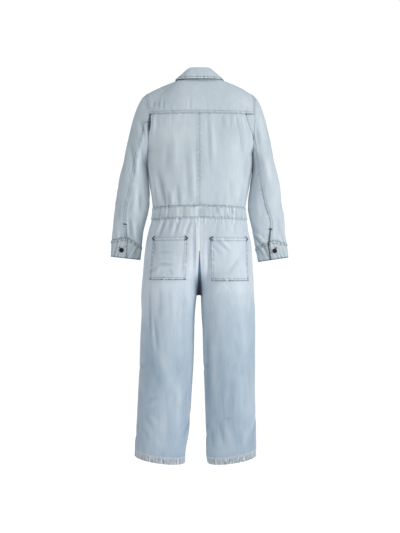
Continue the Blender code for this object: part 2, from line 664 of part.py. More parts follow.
def back_pleat(name):
    """The pleat's under layer, from the armhole to behind the fold of the back panel."""
    side = SIDES[name]
    pleat = PLEATS[name]

    def surface(u, v):
        z = mix(pleat.end_z + SEAM, YOKE_Z - LAID_ON / 2.0, v)
        fold = torso_point(side, BACK, back_fold_s(name, z), z)
        edge = armhole_at_height(side, BACK, z)
        gap = abs(edge.x) - abs(fold.x)
        x = mix(abs(edge.x) - 2.0 * SEAM, abs(fold.x) - PLEAT_UNDERLAP, u)
        sunk = min(1.0, (abs(edge.x) - x) / max(gap, PLEAT_CLOSING / 2.0))
        closing = max(0.0, 1.0 - gap / PLEAT_CLOSING)
        y = mix(edge.y, fold.y, sunk) - max(pleat.depth * sunk, (LAID_ON + SEAM) * closing)
        return Vector((side * x, y, z))

    return panel("back_pleat_" + name, PLEAT_GRID, surface, DENIM, wall=PLEAT_WALL)


def front_body(name):
    side = SIDES[name]
    level_share = FRONT_LEVEL_ROWS / FRONT_ROWS

    def surface(u, v):
        if v <= level_share:
            z = mix(BAND_TOP_Z, NECK_STEP_Z, v / level_share)
            return torso_point(side, FRONT, toward_side(u), z)
        return front_upper_point(side, toward_side(u), (v - level_share) / (1.0 - level_share))

    trims = (TRIM, TRIM, TRIM, CHEST_TRIM)
    return panel("front_body_" + name, (FRONT_COLUMNS, FRONT_ROWS), surface, DENIM, trims=trims)


def yoke():
    def surface(u, v):
        return yoke_point(mix(-1.0, 1.0, u), v)

    trims = (SHOULDER_TRIM, SHOULDER_TRIM, TRIM, TRIM)
    return panel("back_yoke", (YOKE_COLUMNS, YOKE_ROWS), surface, DENIM, trims=trims)


def collar():
    def surface(u, v):
        return collar_point(mix(-COLLAR_REACH, COLLAR_REACH, u), v)

    return panel("collar", COLLAR_GRID, surface, DENIM)


def waistband():
    def back_surface(u, v):
        side = LEFT if u >= 0.5 else RIGHT
        z = mix(BAND_BOTTOM_Z, BAND_TOP_Z, v)
        return torso_point(side, BACK, toward_side(abs(2.0 * u - 1.0)), z, proud=BAND_PROUD)

    columns, rows = BAND_GRID
    trims = (BAND_TRIM, BAND_TRIM, TRIM, TRIM)
    panel("waistband_back", (2 * columns, rows), back_surface, DENIM, wall=BAND_WALL, trims=trims)
    for name, side in SIDES.items():
        def front_surface(u, v, side=side):
            z = mix(BAND_BOTTOM_Z, BAND_TOP_Z, v)
            return torso_point(side, FRONT, toward_side(u), z, proud=BAND_PROUD)

        trims = (TRIM, BAND_TRIM, TRIM, TRIM)
        panel("waistband_front_" + name, BAND_GRID, front_surface, DENIM, wall=BAND_WALL, trims=trims)


def front_strip(name, low_z, high_z, rows, button_heights):
    """A closed button strip down the centre front, lying on the two front panels."""
    def under(u, v):
        x = mix(-PLACKET_WIDTH / 2.0, PLACKET_WIDTH / 2.0, u)
        side = LEFT if x >= 0.0 else RIGHT
        z = mix(low_z, high_z, v)
        front_point = trouser_point if z < BAND_BOTTOM_Z else torso_point
        centre = front_point(side, FRONT, 0.0, z)
        beside = front_point(side, FRONT, 0.25, z)
        share = abs(x) / max(abs(beside.x), 0.01)
        return Vector((x, mix(centre.y, beside.y, share ** 2), z))

    def surface(u, v):
        return moved_out(under, u, v, LAID_ON + PLACKET_LIFT)

    panel(name, (2, rows), surface, DENIM)
    for z in button_heights:
        number = FRONT_BUTTONS.index(z) + 1
        v = (z - low_z) / (high_z - low_z)
        row = math.floor(v * rows) / rows
        low, high = surface(0.5, row), surface(0.5, row + 1.0 / rows)
        point = low.lerp(high, (v - row) * rows)
        normal = (high - low).cross(Vector((1.0, 0.0, 0.0))).normalized()
        if normal.y > 0.0:
            normal.negate()
        button("front_button_%d" % number, point + normal * (WALL / 2.0 + SEAM), normal)


def band_button():
    """The button where the waistband's ends meet, lying across them."""
    z = FRONT_BUTTONS[BAND_BUTTON]
    point = torso_point(LEFT, FRONT, 0.0, z, proud=BAND_PROUD)
    normal = Vector((0.0, -1.0, 0.0))
    place = Vector((BAND_BUTTON_X, point.y, z)) + normal * BAND_WALL / 2.0
    button("front_button_%d" % (BAND_BUTTON + 1), place, normal)


# ---------------------------------------------------------------- sleeves and cuffs
def sleeve(name):
    """Outer and inner sleeve panels, whose back seam gapes below its last stitch."""
    table = SLEEVES[name]
    first_z, cuff_top = table[0].z, table[-2].z

    def seam_angle(t, way):
        z = mix(first_z, cuff_top, (t - CAP_SHARE) / (1.0 - CAP_SHARE))
        opened = max(0.0, 1.0 - (z - cuff_top) / VENT_LENGTH)
        gape = math.degrees(VENT_GAPE / 2.0 / table[-2].half_width)
        return read(table, z, "seam") + way * gape * opened

    def outer_surface(u, v):
        return sleeve_point(name, mix(seam_angle(v, -1.0), SLEEVE_UNDER_SEAM - 360.0, u), v)

    def inner_surface(u, v):
        return sleeve_point(name, mix(seam_angle(v, 1.0), SLEEVE_UNDER_SEAM, u), v)

    trims = (SLEEVE_TRIM, SLEEVE_TRIM, TRIM, TRIM)
    panel("sleeve_outer_" + name, SLEEVE_OUTER_GRID, outer_surface, DENIM, trims=trims)
    panel("sleeve_inner_" + name, SLEEVE_INNER_GRID, inner_surface, DENIM, trims=trims)


def cuff(name):
    """A band round the wrist, its outer end lapped over its inner end at the back seam."""
    table = SLEEVES[name]
    side = SIDES[name]
    top_z = table[-2].z
    radius = table[-2].half_width
    lap = math.degrees(CUFF_LAP / radius)
    step = BAND_WALL + 2.0 * SEAM

    def surface(u, v):
        turned = u * (360.0 + lap)
        angle = table[-2].seam + CUFF_SEAM_TURN - turned
        lift = step * max(0.0, 1.0 - max(0.0, turned - lap) / CUFF_LAP_EASE)
        point = sleeve_ring(name, angle, mix(top_z - CUFF_HEIGHT, top_z, v))
        centre_x = side * read(table, point.z, "centre")
        out_x = (point.x - centre_x) / read(table, point.z, "half_width") ** 2
        out_y = (point.y - read(table, point.z, "forward")) / read(table, point.z, "half_depth") ** 2
        return point + Vector((out_x, out_y, 0.0)).normalized() * lift

    panel("cuff_" + name, CUFF_GRID, surface, DENIM, wall=BAND_WALL)
    u = CUFF_BUTTON_BACK / (radius * math.radians(360.0 + lap))
    point = surface(u, 0.5)
    ahead = surface(u + 0.01, 0.5) - point
    up = surface(u, 0.6) - point
    normal = ahead.cross(up).normalized()
    if normal.y < 0.0:
        normal.negate()
    button("cuff_button_" + name, point + normal * BAND_WALL / 2.0, normal)


# ---------------------------------------------------------------- trousers
def leg_height(v):
    """Height of a row of the leg panels; rows close up round the fork, where the seat splits."""
    at = v * (len(LEG_ROWS) - 1)
    i = min(int(at), len(LEG_ROWS) - 2)
    return mix(LEG_ROWS[i], LEG_ROWS[i + 1], at - i)


def leg(name, face):
    side = SIDES[name]
    label = "back" if face == BACK else "front"

    def surface(u, v):
        return trouser_point(side, face, toward_ends(u), leg_height(v))

    grid = (LEG_COLUMNS, len(LEG_ROWS) - 1)
    trims = (INSEAM_TRIM, TRIM, TRIM, WAIST_TRIM)
    return panel("leg_%s_%s" % (label, name), grid, surface, LEG_DENIM, trims=trims)


def back_pocket(name):
    """A patch pocket whose points are the seat's own, moved out."""
    side = SIDES[name]
    pocket = POCKETS[name]

    def seat_s(x, z):
        low, high = 0.0, 1.0
        for _ in range(HALVINGS):
            middle = (low + high) / 2.0
            if abs(trouser_point(side, BACK, middle, z).x) < x:
                low = middle
            else:
                high = middle
        return (low + high) / 2.0

    def under(u, v):
        z = mix(pocket.bottom_z, pocket.top_z, v)
        inner = seat_s(mix(pocket.inner_bottom, pocket.inner_top, v), z)
        outer = seat_s(mix(pocket.outer_bottom, pocket.outer_top, v), z)
        return trouser_point(side, BACK, mix(inner, outer, u), z)

    def surface(u, v):
        return moved_out(under, u, v, LAID_ON + POCKET_LIFT)

    return panel("back_pocket_" + name, POCKET_GRID, surface, LEG_DENIM)


def main():
    for old in list(bpy.data.objects):
        bpy.data.objects.remove(old, do_unlink=True)
    garment = bpy.data.collections.new("jumpsuit")
    bpy.context.scene.collection.children.link(garment)
    layer = bpy.context.view_layer.layer_collection.children[garment.name]
    bpy.context.view_layer.active_layer_collection = layer

    yoke()
    collar()
    waistband()
    chest_buttons, fly_buttons = FRONT_BUTTONS[:BAND_BUTTON], FRONT_BUTTONS[BAND_BUTTON + 1:]
    front_strip("front_placket", BAND_TOP_Z + SEAM, PLACKET_TOP_Z, PLACKET_ROWS, chest_buttons)
    front_strip("fly_placket", FLY_END_Z, BAND_BOTTOM_Z - SEAM, FLY_ROWS, fly_buttons)
    band_button()
    for name in SIDES:
        back_body(name)
        back_pleat(name)
        front_body(name)
        sleeve(name)
        cuff(name)
        leg(name, BACK)
        leg(name, FRONT)
        back_pocket(name)


main()
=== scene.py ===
"""A long-sleeved denim jumpsuit, filled out as if worn: its cloth, sewing, buttons and light.

Metres, +Z up. The front faces -Y and the photographed back +Y; the wearer's left is +X.
Every cut piece is a fine grid laid on the same form as its solid. The creases of the photograph
are raised on it as soft ridges and troughs, its edges are folded over or run on under their
neighbours, and the rows of stitches follow the finished edges.
"""

import logging
import math
from bisect import bisect_right
from collections.abc import Callable, Iterable, Sequence
from dataclasses import dataclass, field
from enum import Enum, IntEnum
from typing import NamedTuple

import bpy
import numpy as np
from mathutils import Matrix, Vector, noise

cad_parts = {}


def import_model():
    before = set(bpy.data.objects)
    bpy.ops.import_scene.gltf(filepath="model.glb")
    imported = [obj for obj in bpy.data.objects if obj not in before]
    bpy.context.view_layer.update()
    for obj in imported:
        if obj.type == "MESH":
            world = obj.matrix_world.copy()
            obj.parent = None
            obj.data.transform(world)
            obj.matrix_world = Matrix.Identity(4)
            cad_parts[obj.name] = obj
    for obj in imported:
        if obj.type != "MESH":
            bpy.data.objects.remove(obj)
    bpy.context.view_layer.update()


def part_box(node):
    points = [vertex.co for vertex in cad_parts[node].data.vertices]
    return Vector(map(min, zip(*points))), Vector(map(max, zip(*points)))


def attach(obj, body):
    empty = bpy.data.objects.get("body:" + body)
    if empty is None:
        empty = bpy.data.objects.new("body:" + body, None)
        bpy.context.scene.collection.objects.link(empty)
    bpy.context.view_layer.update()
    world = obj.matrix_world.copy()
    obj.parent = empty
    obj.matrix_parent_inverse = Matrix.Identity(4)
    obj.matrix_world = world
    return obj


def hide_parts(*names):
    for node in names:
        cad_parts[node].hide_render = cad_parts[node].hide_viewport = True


LOG = logging.getLogger("jumpsuit")
BODY = "root"
Row = tuple[float, ...]
Colour = tuple[float, float, float]

# ---------------------------------------------------------------- sizes shared by the pieces
WALL = 0.0016              # thickness of a panel's solid, whose outer face the cloth keeps
CLOTH = 0.0011             # one layer of denim
BAND_CLOTH = 0.0022        # waistband and cuffs
ROUNDNESS = 2.3            # exponent of the torso's sections, 2 is an ellipse

YOKE_Z = -0.128
UNDERARM_Z = -0.262
BAND_TOP_Z = -0.4585
BAND_BOTTOM_Z = -0.5005
FORK_Z = -0.772
HEM_Z = -1.376
HEM_TILT = 0.0125          # the hems rise towards the side seams by this much each way
HEM_DIP = 0.008            # and are this much lower at the middle of the back and front
HEM_START_Z = -1.0         # above this height the legs' rows are level
NECK_STEP_Z = -0.118       # below this height the front panels' rows are level

WAIST_Z = -0.475
WAIST_REACH = 0.055        # the waistband's arch fades out over this height
WAIST_HALF = 0.17
WAIST_RISE = 0.0022        # its middle stands this much higher
WAIST_SAG = 0.0068         # and its sides hang this much lower than that

PLACKET_WIDTH = 0.034
PLACKET_TOP_Z = -0.094
FLY_END_Z = -0.655
LAID_ON = 0.0021           # between the middles of two layers that lie on each other
CUFF_HEIGHT = 0.059
CUFF_LAP = 0.020
CUFF_LAP_EASE = 60.0       # degrees over which the lapped end settles onto the wrist
CUFF_SEAM_TURN = 6.0       # degrees from the sleeve's back seam to the lapped edge
SLEEVE_UNDER_SEAM = 188.0  # the underarm seam, in degrees round the arm
PLEAT_UNDERLAP = 0.012
PLEAT_CLOSING = 0.008
HALVINGS = 26              # steps when a place on a curve is looked for
MM = 1000.0                # the creases' tables are in millimetres


class Side(IntEnum):
    """The wearer's two sides, with the sign of their X."""

    LEFT = 1
    RIGHT = -1

    @property
    def label(self) -> str:
        """The side's name, as the pieces use it."""
        return self.name.lower()


class Face(IntEnum):
    """The garment's two faces, with the sign of their Y."""

    BACK = 1
    FRONT = -1

    @property
    def label(self) -> str:
        """The face's name, as the tables and pieces use it."""
        return self.name.lower()


# ---------------------------------------------------------------- the form's tables
class Torso(NamedTuple):
    """A level section of the torso: half widths and depths."""

    z: float
    left: float
    right: float
    back: float
    front: float


class Leg(NamedTuple):
    """A level section of both legs."""

    z: float
    outer_left: float
    inner_left: float
    inner_right: float
    outer_right: float
    back: float
    front: float


class Rise(NamedTuple):
    """How far a height has turned from the seat's section (0) to the legs' own (1)."""

    z: float
    back: float
    front: float


class Ring(NamedTuple):
    """A point of a mirrored ring, by its turn."""

    turn: float
    x: float
    y: float
    z: float


class Swell(NamedTuple):
    """Height of the yoke's bow at a turn."""

    turn: float
    height: float


class Arm(NamedTuple):
    """A section of a sleeve at a level along the arm, with its back seam's angle."""

    z: float
    centre: float
    half_width: float
    half_depth: float
    forward: float
    lean: float
    seam: float


class Lift(NamedTuple):
    """How far a cuff's top edge stands above its level at an angle round the arm."""

    degrees: float
    rise: float


class Pleat(NamedTuple):
    """The fold of the back panel beside an armhole, and how soon it closes."""

    fold_x: float
    end_z: float
    depth: float
    opening: float
    shade_reach: float


class Pocket(NamedTuple):
    """Corners of a back pocket."""

    inner_top: float
    outer_top: float
    inner_bottom: float
    outer_bottom: float
    top_z: float
    bottom_z: float


TORSO = (
    Torso(-0.118, 0.1900, 0.1930, 0.1130, 0.1000),
    Torso(-0.128, 0.1900, 0.1930, 0.1150, 0.1030),
    Torso(-0.170, 0.1910, 0.1940, 0.1225, 0.1130),
    Torso(-0.210, 0.1915, 0.1945, 0.1270, 0.1200),
    Torso(-0.262, 0.1915, 0.1945, 0.1280, 0.1240),
    Torso(-0.300, 0.1895, 0.1930, 0.1250, 0.1230),
    Torso(-0.347, 0.1840, 0.1860, 0.1185, 0.1180),
    Torso(-0.380, 0.1790, 0.1800, 0.1130, 0.1130),
    Torso(-0.420, 0.1725, 0.1720, 0.1050, 0.1060),
    Torso(-0.459, 0.1690, 0.1660, 0.0980, 0.1010),
    Torso(-0.501, 0.1730, 0.1715, 0.1000, 0.1010),
    Torso(-0.540, 0.1835, 0.1755, 0.1120, 0.1050),
    Torso(-0.600, 0.1955, 0.1880, 0.1250, 0.1080),
    Torso(-0.660, 0.2030, 0.1920, 0.1290, 0.1080),
    Torso(-0.720, 0.2065, 0.1950, 0.1250, 0.1040),
    Torso(-0.772, 0.2110, 0.1970, 0.1180, 0.0980),
)

LEGS = (
    Leg(-0.600, 0.1955, 0.0010, -0.0010, 0.1880, 0.1250, 0.1060),
    Leg(-0.700, 0.2060, 0.0050, 0.0020, 0.1945, 0.1220, 0.1030),
    Leg(-0.772, 0.2110, 0.0108, 0.0066, 0.1970, 0.1120, 0.0960),
    Leg(-0.790, 0.2115, 0.0128, 0.0070, 0.1985, 0.1085, 0.0930),
    Leg(-0.847, 0.2095, 0.0176, 0.0088, 0.2020, 0.0980, 0.0860),
    Leg(-0.905, 0.2125, 0.0205, 0.0130, 0.2025, 0.0900, 0.0800),
    Leg(-1.022, 0.2165, 0.0240, 0.0165, 0.2010, 0.0790, 0.0720),
    Leg(-1.139, 0.2225, 0.0310, 0.0205, 0.2010, 0.0710, 0.0650),
    Leg(-1.256, 0.2285, 0.0385, 0.0240, 0.2045, 0.0640, 0.0600),
    Leg(-1.343, 0.2350, 0.0520, 0.0245, 0.2065, 0.0590, 0.0560),
    Leg(-1.376, 0.2352, 0.0535, 0.0300, 0.2065, 0.0580, 0.0550),
)

BRIDGE_Z = -0.7770         # the fork's cloth between the legs ends level here
BRIDGE_SHARE = 0.05        # share of a panel's width that it takes
THIGH_POWER = 0.72         # flattens the inner thighs near the fork
THIGH_TOP_Z = -0.640
THIGH_END_Z = -0.980

CROTCH = (
    Rise(-0.600, 0.00, 0.00),
    Rise(-0.640, 0.04, 0.01),
    Rise(-0.680, 0.20, 0.06),
    Rise(-0.700, 0.40, 0.12),
    Rise(-0.720, 0.64, 0.24),
    Rise(-0.750, 0.90, 0.54),
    Rise(-0.772, 1.00, 1.00),
)
SEAT_FILL = {Face.BACK: 0.014, Face.FRONT: 0.009}

# turn: 0 at the centre back, 1 at the centre front
NECKLINE = (
    Ring(0.00, 0.0000, 0.0600, 0.0110),
    Ring(0.20, 0.0360, 0.0530, 0.0110),
    Ring(0.36, 0.0600, 0.0340, 0.0090),
    Ring(0.50, 0.0730, 0.0040, 0.0020),
    Ring(0.60, 0.0735, -0.0200, -0.0020),
    Ring(0.72, 0.0690, -0.0420, -0.0215),
    Ring(0.84, 0.0540, -0.0660, -0.0520),
    Ring(0.93, 0.0280, -0.0800, -0.0770),
    Ring(1.00, 0.0000, -0.0850, -0.0850),
)
SHOULDER_SEAM_TURN = 0.60

COLLAR_FOLD = (
    Ring(0.00, 0.0000, 0.0560, 0.0405),
    Ring(0.20, 0.0290, 0.0520, 0.0405),
    Ring(0.36, 0.0520, 0.0360, 0.0290),
    Ring(0.50, 0.0700, 0.0060, 0.0140),
    Ring(0.60, 0.0735, -0.0190, 0.0080),
    Ring(0.72, 0.0700, -0.0430, -0.0080),
    Ring(0.84, 0.0560, -0.0680, -0.0410),
    Ring(0.93, 0.0310, -0.0840, -0.0680),
    Ring(1.00, 0.0060, -0.0900, -0.0780),
)
COLLAR_EDGE = (
    Ring(0.00, 0.0000, 0.0800, 0.0005),
    Ring(0.20, 0.0400, 0.0730, 0.0015),
    Ring(0.36, 0.0700, 0.0530, 0.0030),
    Ring(0.50, 0.0870, 0.0140, 0.0050),
    Ring(0.60, 0.0890, -0.0180, 0.0010),
    Ring(0.72, 0.0890, -0.0540, -0.0230),
    Ring(0.84, 0.0820, -0.0860, -0.0580),
    Ring(0.93, 0.0740, -0.1010, -0.0880),
    Ring(1.00, 0.0600, -0.1080, -0.1180),
)
COLLAR_FOLD_RADIUS = 0.0028
COLLAR_FOLD_START = 0.35
COLLAR_FOLD_END = 0.65
COLLAR_ROLL = 0.002
COLLAR_SEAM_EASE = 0.0008
COLLAR_REACH = 0.985

YOKE_SWELL = (
    Swell(0.00, 0.0100),
    Swell(0.30, 0.0120),
    Swell(0.58, 0.0170),
    Swell(0.80, 0.0090),
    Swell(1.00, 0.0045),
)
YOKE_SWELL_FROM = Vector((0.0, 0.010, -0.130))
YOKE_SEAM_SHARE = 14 / 24      # share of the yoke's turn along the back seam
CHEST_SWELL = Vector((0.0, -0.008, 0.006))
FRONT_NECK_SHARE = 3 / 9       # share of a front panel's columns that end at the neckline

# turn: 0 at the shoulder tip, then over the back, 0.5 at the underarm, up the front
ARMHOLE = (
    Ring(0.00, 0.1975, -0.0020, -0.0480),
    Ring(0.08, 0.1925, 0.0400, -0.0640),
    Ring(0.16, 0.1830, 0.0660, -0.0970),
    Ring(0.22, 0.1775, 0.0770, -0.1280),
    Ring(0.30, 0.1755, 0.0810, -0.1680),
    Ring(0.38, 0.1785, 0.0740, -0.2120),
    Ring(0.45, 0.1865, 0.0450, -0.2480),
    Ring(0.50, 0.1915, 0.0000, -0.2620),
    Ring(0.55, 0.1855, -0.0450, -0.2500),
    Ring(0.63, 0.1750, -0.0760, -0.2120),
    Ring(0.71, 0.1690, -0.0840, -0.1660),
    Ring(0.80, 0.1745, -0.0790, -0.1180),
    Ring(0.90, 0.1880, -0.0520, -0.0760),
    Ring(0.95, 0.1945, -0.0280, -0.0570),
    Ring(1.00, 0.1975, -0.0020, -0.0480),
)
ARMHOLE_YOKE_TURN = 0.22
ARMHOLE_SHOULDER_TURN = 0.95
ARMHOLE_STEP_TURN = 0.80
LEFT_PLEAT_EASE = 0.0105    # the left armhole stands out beside the pleat
LEFT_PLEAT_TURN = 0.305
LENS_Z = -0.176            # the left sleeve stands off the pleat's dark opening round here
LENS_REACH = 0.038
LENS_PUSH = 0.0150
RIGHT_BLADE_EASE = 0.020
RIGHT_UNDERARM_EASE = 0.003
RIGHT_TIP_EASE = 0.004

SLEEVES = {
    Side.LEFT: (
        Arm(-0.300, 0.2345, 0.0425, 0.0660, -0.002, 9.0, 98.0),
        Arm(-0.347, 0.2390, 0.0510, 0.0560, -0.003, 5.5, 90.0),
        Arm(-0.385, 0.2405, 0.0565, 0.0480, -0.004, 5.0, 84.0),
        Arm(-0.423, 0.2430, 0.0600, 0.0420, -0.006, 6.0, 78.0),
        Arm(-0.453, 0.2465, 0.0615, 0.0380, -0.008, 8.0, 74.0),
        Arm(-0.482, 0.2515, 0.0598, 0.0350, -0.009, 8.5, 74.0),
        Arm(-0.511, 0.2570, 0.0578, 0.0320, -0.010, 8.0, 78.0),
        Arm(-0.540, 0.2615, 0.0560, 0.0290, -0.011, 6.5, 84.0),
        Arm(-0.585, 0.2665, 0.0545, 0.0260, -0.012, 6.5, 90.0),
        Arm(-0.645, 0.2705, 0.0530, 0.0240, -0.013, 6.5, 90.0),
    ),
    Side.RIGHT: (
        Arm(-0.300, 0.2335, 0.0385, 0.0680, -0.002, 9.0, 128.0),
        Arm(-0.347, 0.2380, 0.0475, 0.0580, -0.003, 3.5, 115.0),
        Arm(-0.385, 0.2390, 0.0545, 0.0500, -0.004, 1.5, 105.0),
        Arm(-0.423, 0.2385, 0.0590, 0.0430, -0.006, 2.0, 96.0),
        Arm(-0.453, 0.2390, 0.0620, 0.0380, -0.008, 6.0, 90.0),
        Arm(-0.482, 0.2440, 0.0622, 0.0350, -0.009, 9.0, 85.0),
        Arm(-0.511, 0.2490, 0.0610, 0.0320, -0.010, 8.5, 82.0),
        Arm(-0.540, 0.2530, 0.0590, 0.0290, -0.011, 8.5, 86.0),
        Arm(-0.590, 0.2620, 0.0570, 0.0260, -0.012, 8.5, 98.0),
        Arm(-0.650, 0.2700, 0.0545, 0.0240, -0.013, 8.5, 104.0),
    ),
}
CAP_SHARE = 0.40
CAP_TOP_REACH = 0.034
CAP_UNDERARM_REACH = 0.012
CAP_ARM_REACH = 0.50
CAP_ARM_EASE = 0.6
CAP_TOP_OUT = 0.85
CAP_TOP_DOWN = 0.53
CAP_UNDERARM_OUT = 0.10
CAP_ROUND = 0.10

# the cuffs' top edges stand highest beside the vent and sag towards the body
CUFF_TOPS = {
    Side.LEFT: (
        Lift(0.0, 0.000), Lift(55.0, 0.006), Lift(88.0, 0.014), Lift(120.0, 0.004),
        Lift(150.0, -0.007), Lift(185.0, -0.011), Lift(270.0, 0.002), Lift(360.0, 0.000),
    ),
    Side.RIGHT: (
        Lift(0.0, -0.009), Lift(50.0, -0.002), Lift(85.0, 0.008), Lift(100.0, 0.006),
        Lift(150.0, -0.006), Lift(185.0, -0.009), Lift(270.0, 0.002), Lift(360.0, -0.009),
    ),
}
CUFF_TOP_REACH = 0.070     # the sleeve follows its cuff's edge over this length

PLEATS = {
    Side.LEFT: Pleat(0.1735, -0.226, 0.0150, 1.60, 0.0300),
    Side.RIGHT: Pleat(0.1645, -0.240, 0.0045, 1.0, 0.0026),
}

POCKETS = {
    Side.LEFT: Pocket(0.0425, 0.1650, 0.0495, 0.1770, -0.5700, -0.7210),
    Side.RIGHT: Pocket(0.0385, 0.1690, 0.0435, 0.1740, -0.5720, -0.7250),
}


# ---------------------------------------------------------------- the photograph's view
@dataclass(frozen=True)
class Photograph:
    """Where the photograph's pixels lie, for a camera looking level at the back.

    Attributes:
        metres_per_pixel: scale in the plane through the garment's middle.
        centre_column: column of the garment's centre line.
        shoulder_row: row of the origin's height.
        columns: width of the picture in pixels.
        rows: height of the picture in pixels.
        distance: from the camera to that plane.
    """

    metres_per_pixel: float = 0.00365
    centre_column: float = 199.5
    shoulder_row: float = 82.0
    columns: int = 400
    rows: int = 533
    distance: float = 4.0

    @property
    def eye_x(self) -> float:
        """The camera's X."""
        return (self.centre_column - self.columns / 2.0) * self.metres_per_pixel

    @property
    def eye_z(self) -> float:
        """The camera's height."""
        return (self.shoulder_row - self.rows / 2.0) * self.metres_per_pixel

    def place(self, column: float, row: float, depth: float) -> tuple[float, float]:
        """Finds the place behind a pixel.

        Args:
            column: the pixel's column.
            row: the pixel's row.
            depth: Y of the surface there.

        Returns:
            The X and Z of that place.
        """
        nearer = (self.distance - depth) / self.distance
        x = self.eye_x + (self.columns / 2.0 - column) * self.metres_per_pixel * nearer
        z = self.eye_z + (self.rows / 2.0 - row) * self.metres_per_pixel * nearer
        return x, z


PHOTO = Photograph()


# ---------------------------------------------------------------- creases
class View(Enum):
    """The side that a crease is seen from: its direction, and the axis across it."""

    BACK = ((0.0, 1.0, 0.0), 0)
    FRONT = ((0.0, -1.0, 0.0), 0)
    LEFT = ((1.0, 0.0, 0.0), 1)
    RIGHT = ((-1.0, 0.0, 0.0), 1)


class Crease(NamedTuple):
    """A soft ridge (depth above 0) or trough (below 0) of the cloth.

    In metres: across and z are its middle, reach its half length, width its half width. lean is
    the degrees by which its top tilts towards the higher values of across.
    """

    view: View
    across: float
    z: float
    reach: float
    width: float
    depth: float
    lean: float


class Seen(NamedTuple):
    """A crease of the back, placed by the photograph's column and row.

    reach, width and depth are in millimetres, and lean tilts the top towards the picture's right.
    """

    column: float
    row: float
    reach: float
    width: float
    depth: float
    lean: float

    def crease(self, surface_y: float) -> Crease:
        """The same crease in the garment's own frame.

        Args:
            surface_y: Y of the surface that it lies on.

        Returns:
            The crease, in metres.
        """
        x, z = PHOTO.place(self.column, self.row, surface_y)
        return Crease(View.BACK, x, z, self.reach / MM, self.width / MM, self.depth / MM, -self.lean)


# the columns of each row are those of Seen
# below the yoke, then towards the waist, then on the yoke and on the waistband
BODICE_SEEN = (
    (243.4, 123, 28, 4.5, 1.6, -8), (154, 124, 34, 5, 2, 4), (237, 121, 24, 3.6, -1.8, -8),
    (240.6, 138, 58, 6.2, -1.8, -9), (222.8, 121, 26, 5.5, -1.4, -3), (231, 120, 22, 5, -1.4, -3),
    (208.6, 138, 90, 5, -1.8, -3), (213.5, 140, 85, 9, 1.2, -2), (187.8, 176, 85, 8.5, -1.9, -4),
    (193.8, 178, 80, 9, 1.4, -3), (167.8, 155, 45, 10, -1.6, 0), (176, 150, 60, 10, 1, 0),
    (156, 120, 14, 4.5, -0.9, 0), (163, 121, 14, 4.5, -0.8, 2), (172, 119, 13, 4.5, -0.8, -2),
    (181, 118.5, 12, 4.5, -0.7, 0), (162, 189, 62, 7, -3.6, -12), (157, 190, 50, 6.5, 2.4, -10),
    (168.2, 198, 28, 4.8, -2.6, -3), (172.6, 197, 30, 6, 1.8, -3), (177.8, 196, 36, 4.6, -2.1, -4),
    (183, 199, 22, 6, 1.2, 0), (216, 197, 22, 6, -0.9, 2), (224.5, 199, 18, 5.5, -0.8, 0),
    (231.5, 189, 32, 8, -1.2, -3), (242.5, 196, 30, 8.5, -1.4, 5), (246, 172, 50, 9, -1, 2),
    (153.4, 102.8, 11, 3, -2.2, -4), (158.3, 102.6, 13, 3, -2.7, -4), (160.7, 103, 12, 3, 1.2, -3),
    (163.2, 104, 13, 3, -2.2, -2), (171, 107, 12, 3.6, -0.8, 0), (187.4, 103, 20, 3.6, 0.9, -2),
    (190, 103.5, 20, 3.6, -1.2, -2), (207, 106, 20, 3.6, -0.8, 0), (150.3, 107, 12, 3, -1.4, -30),
    (247, 109, 13, 4.5, -1.2, 15), (160, 212, 26, 3.4, -2.7, 3), (163.6, 212, 24, 3.4, -2.2, 5),
    (167.2, 212, 28, 3.4, -3, 5), (170.8, 212, 24, 3.4, -2.4, 2), (174.8, 212, 26, 3.4, -2.6, 2),
    (179.2, 212, 25, 3.4, -2.1, 4), (188.6, 211.5, 22, 3.6, -1.1, 0), (193.5, 211.5, 22, 3.6, -1, 2),
    (203.3, 211.5, 20, 3.4, -0.8, 0), (209, 212, 20, 3.4, -0.6, 0), (216, 212, 20, 3.6, -0.7, 0),
    (224.5, 212.5, 20, 3.6, -0.9, -2), (231, 212.5, 20, 3.6, -0.9, 0), (236, 213, 20, 3.4, -1, 0),
    (241, 213, 20, 3.4, -1, 0),
)

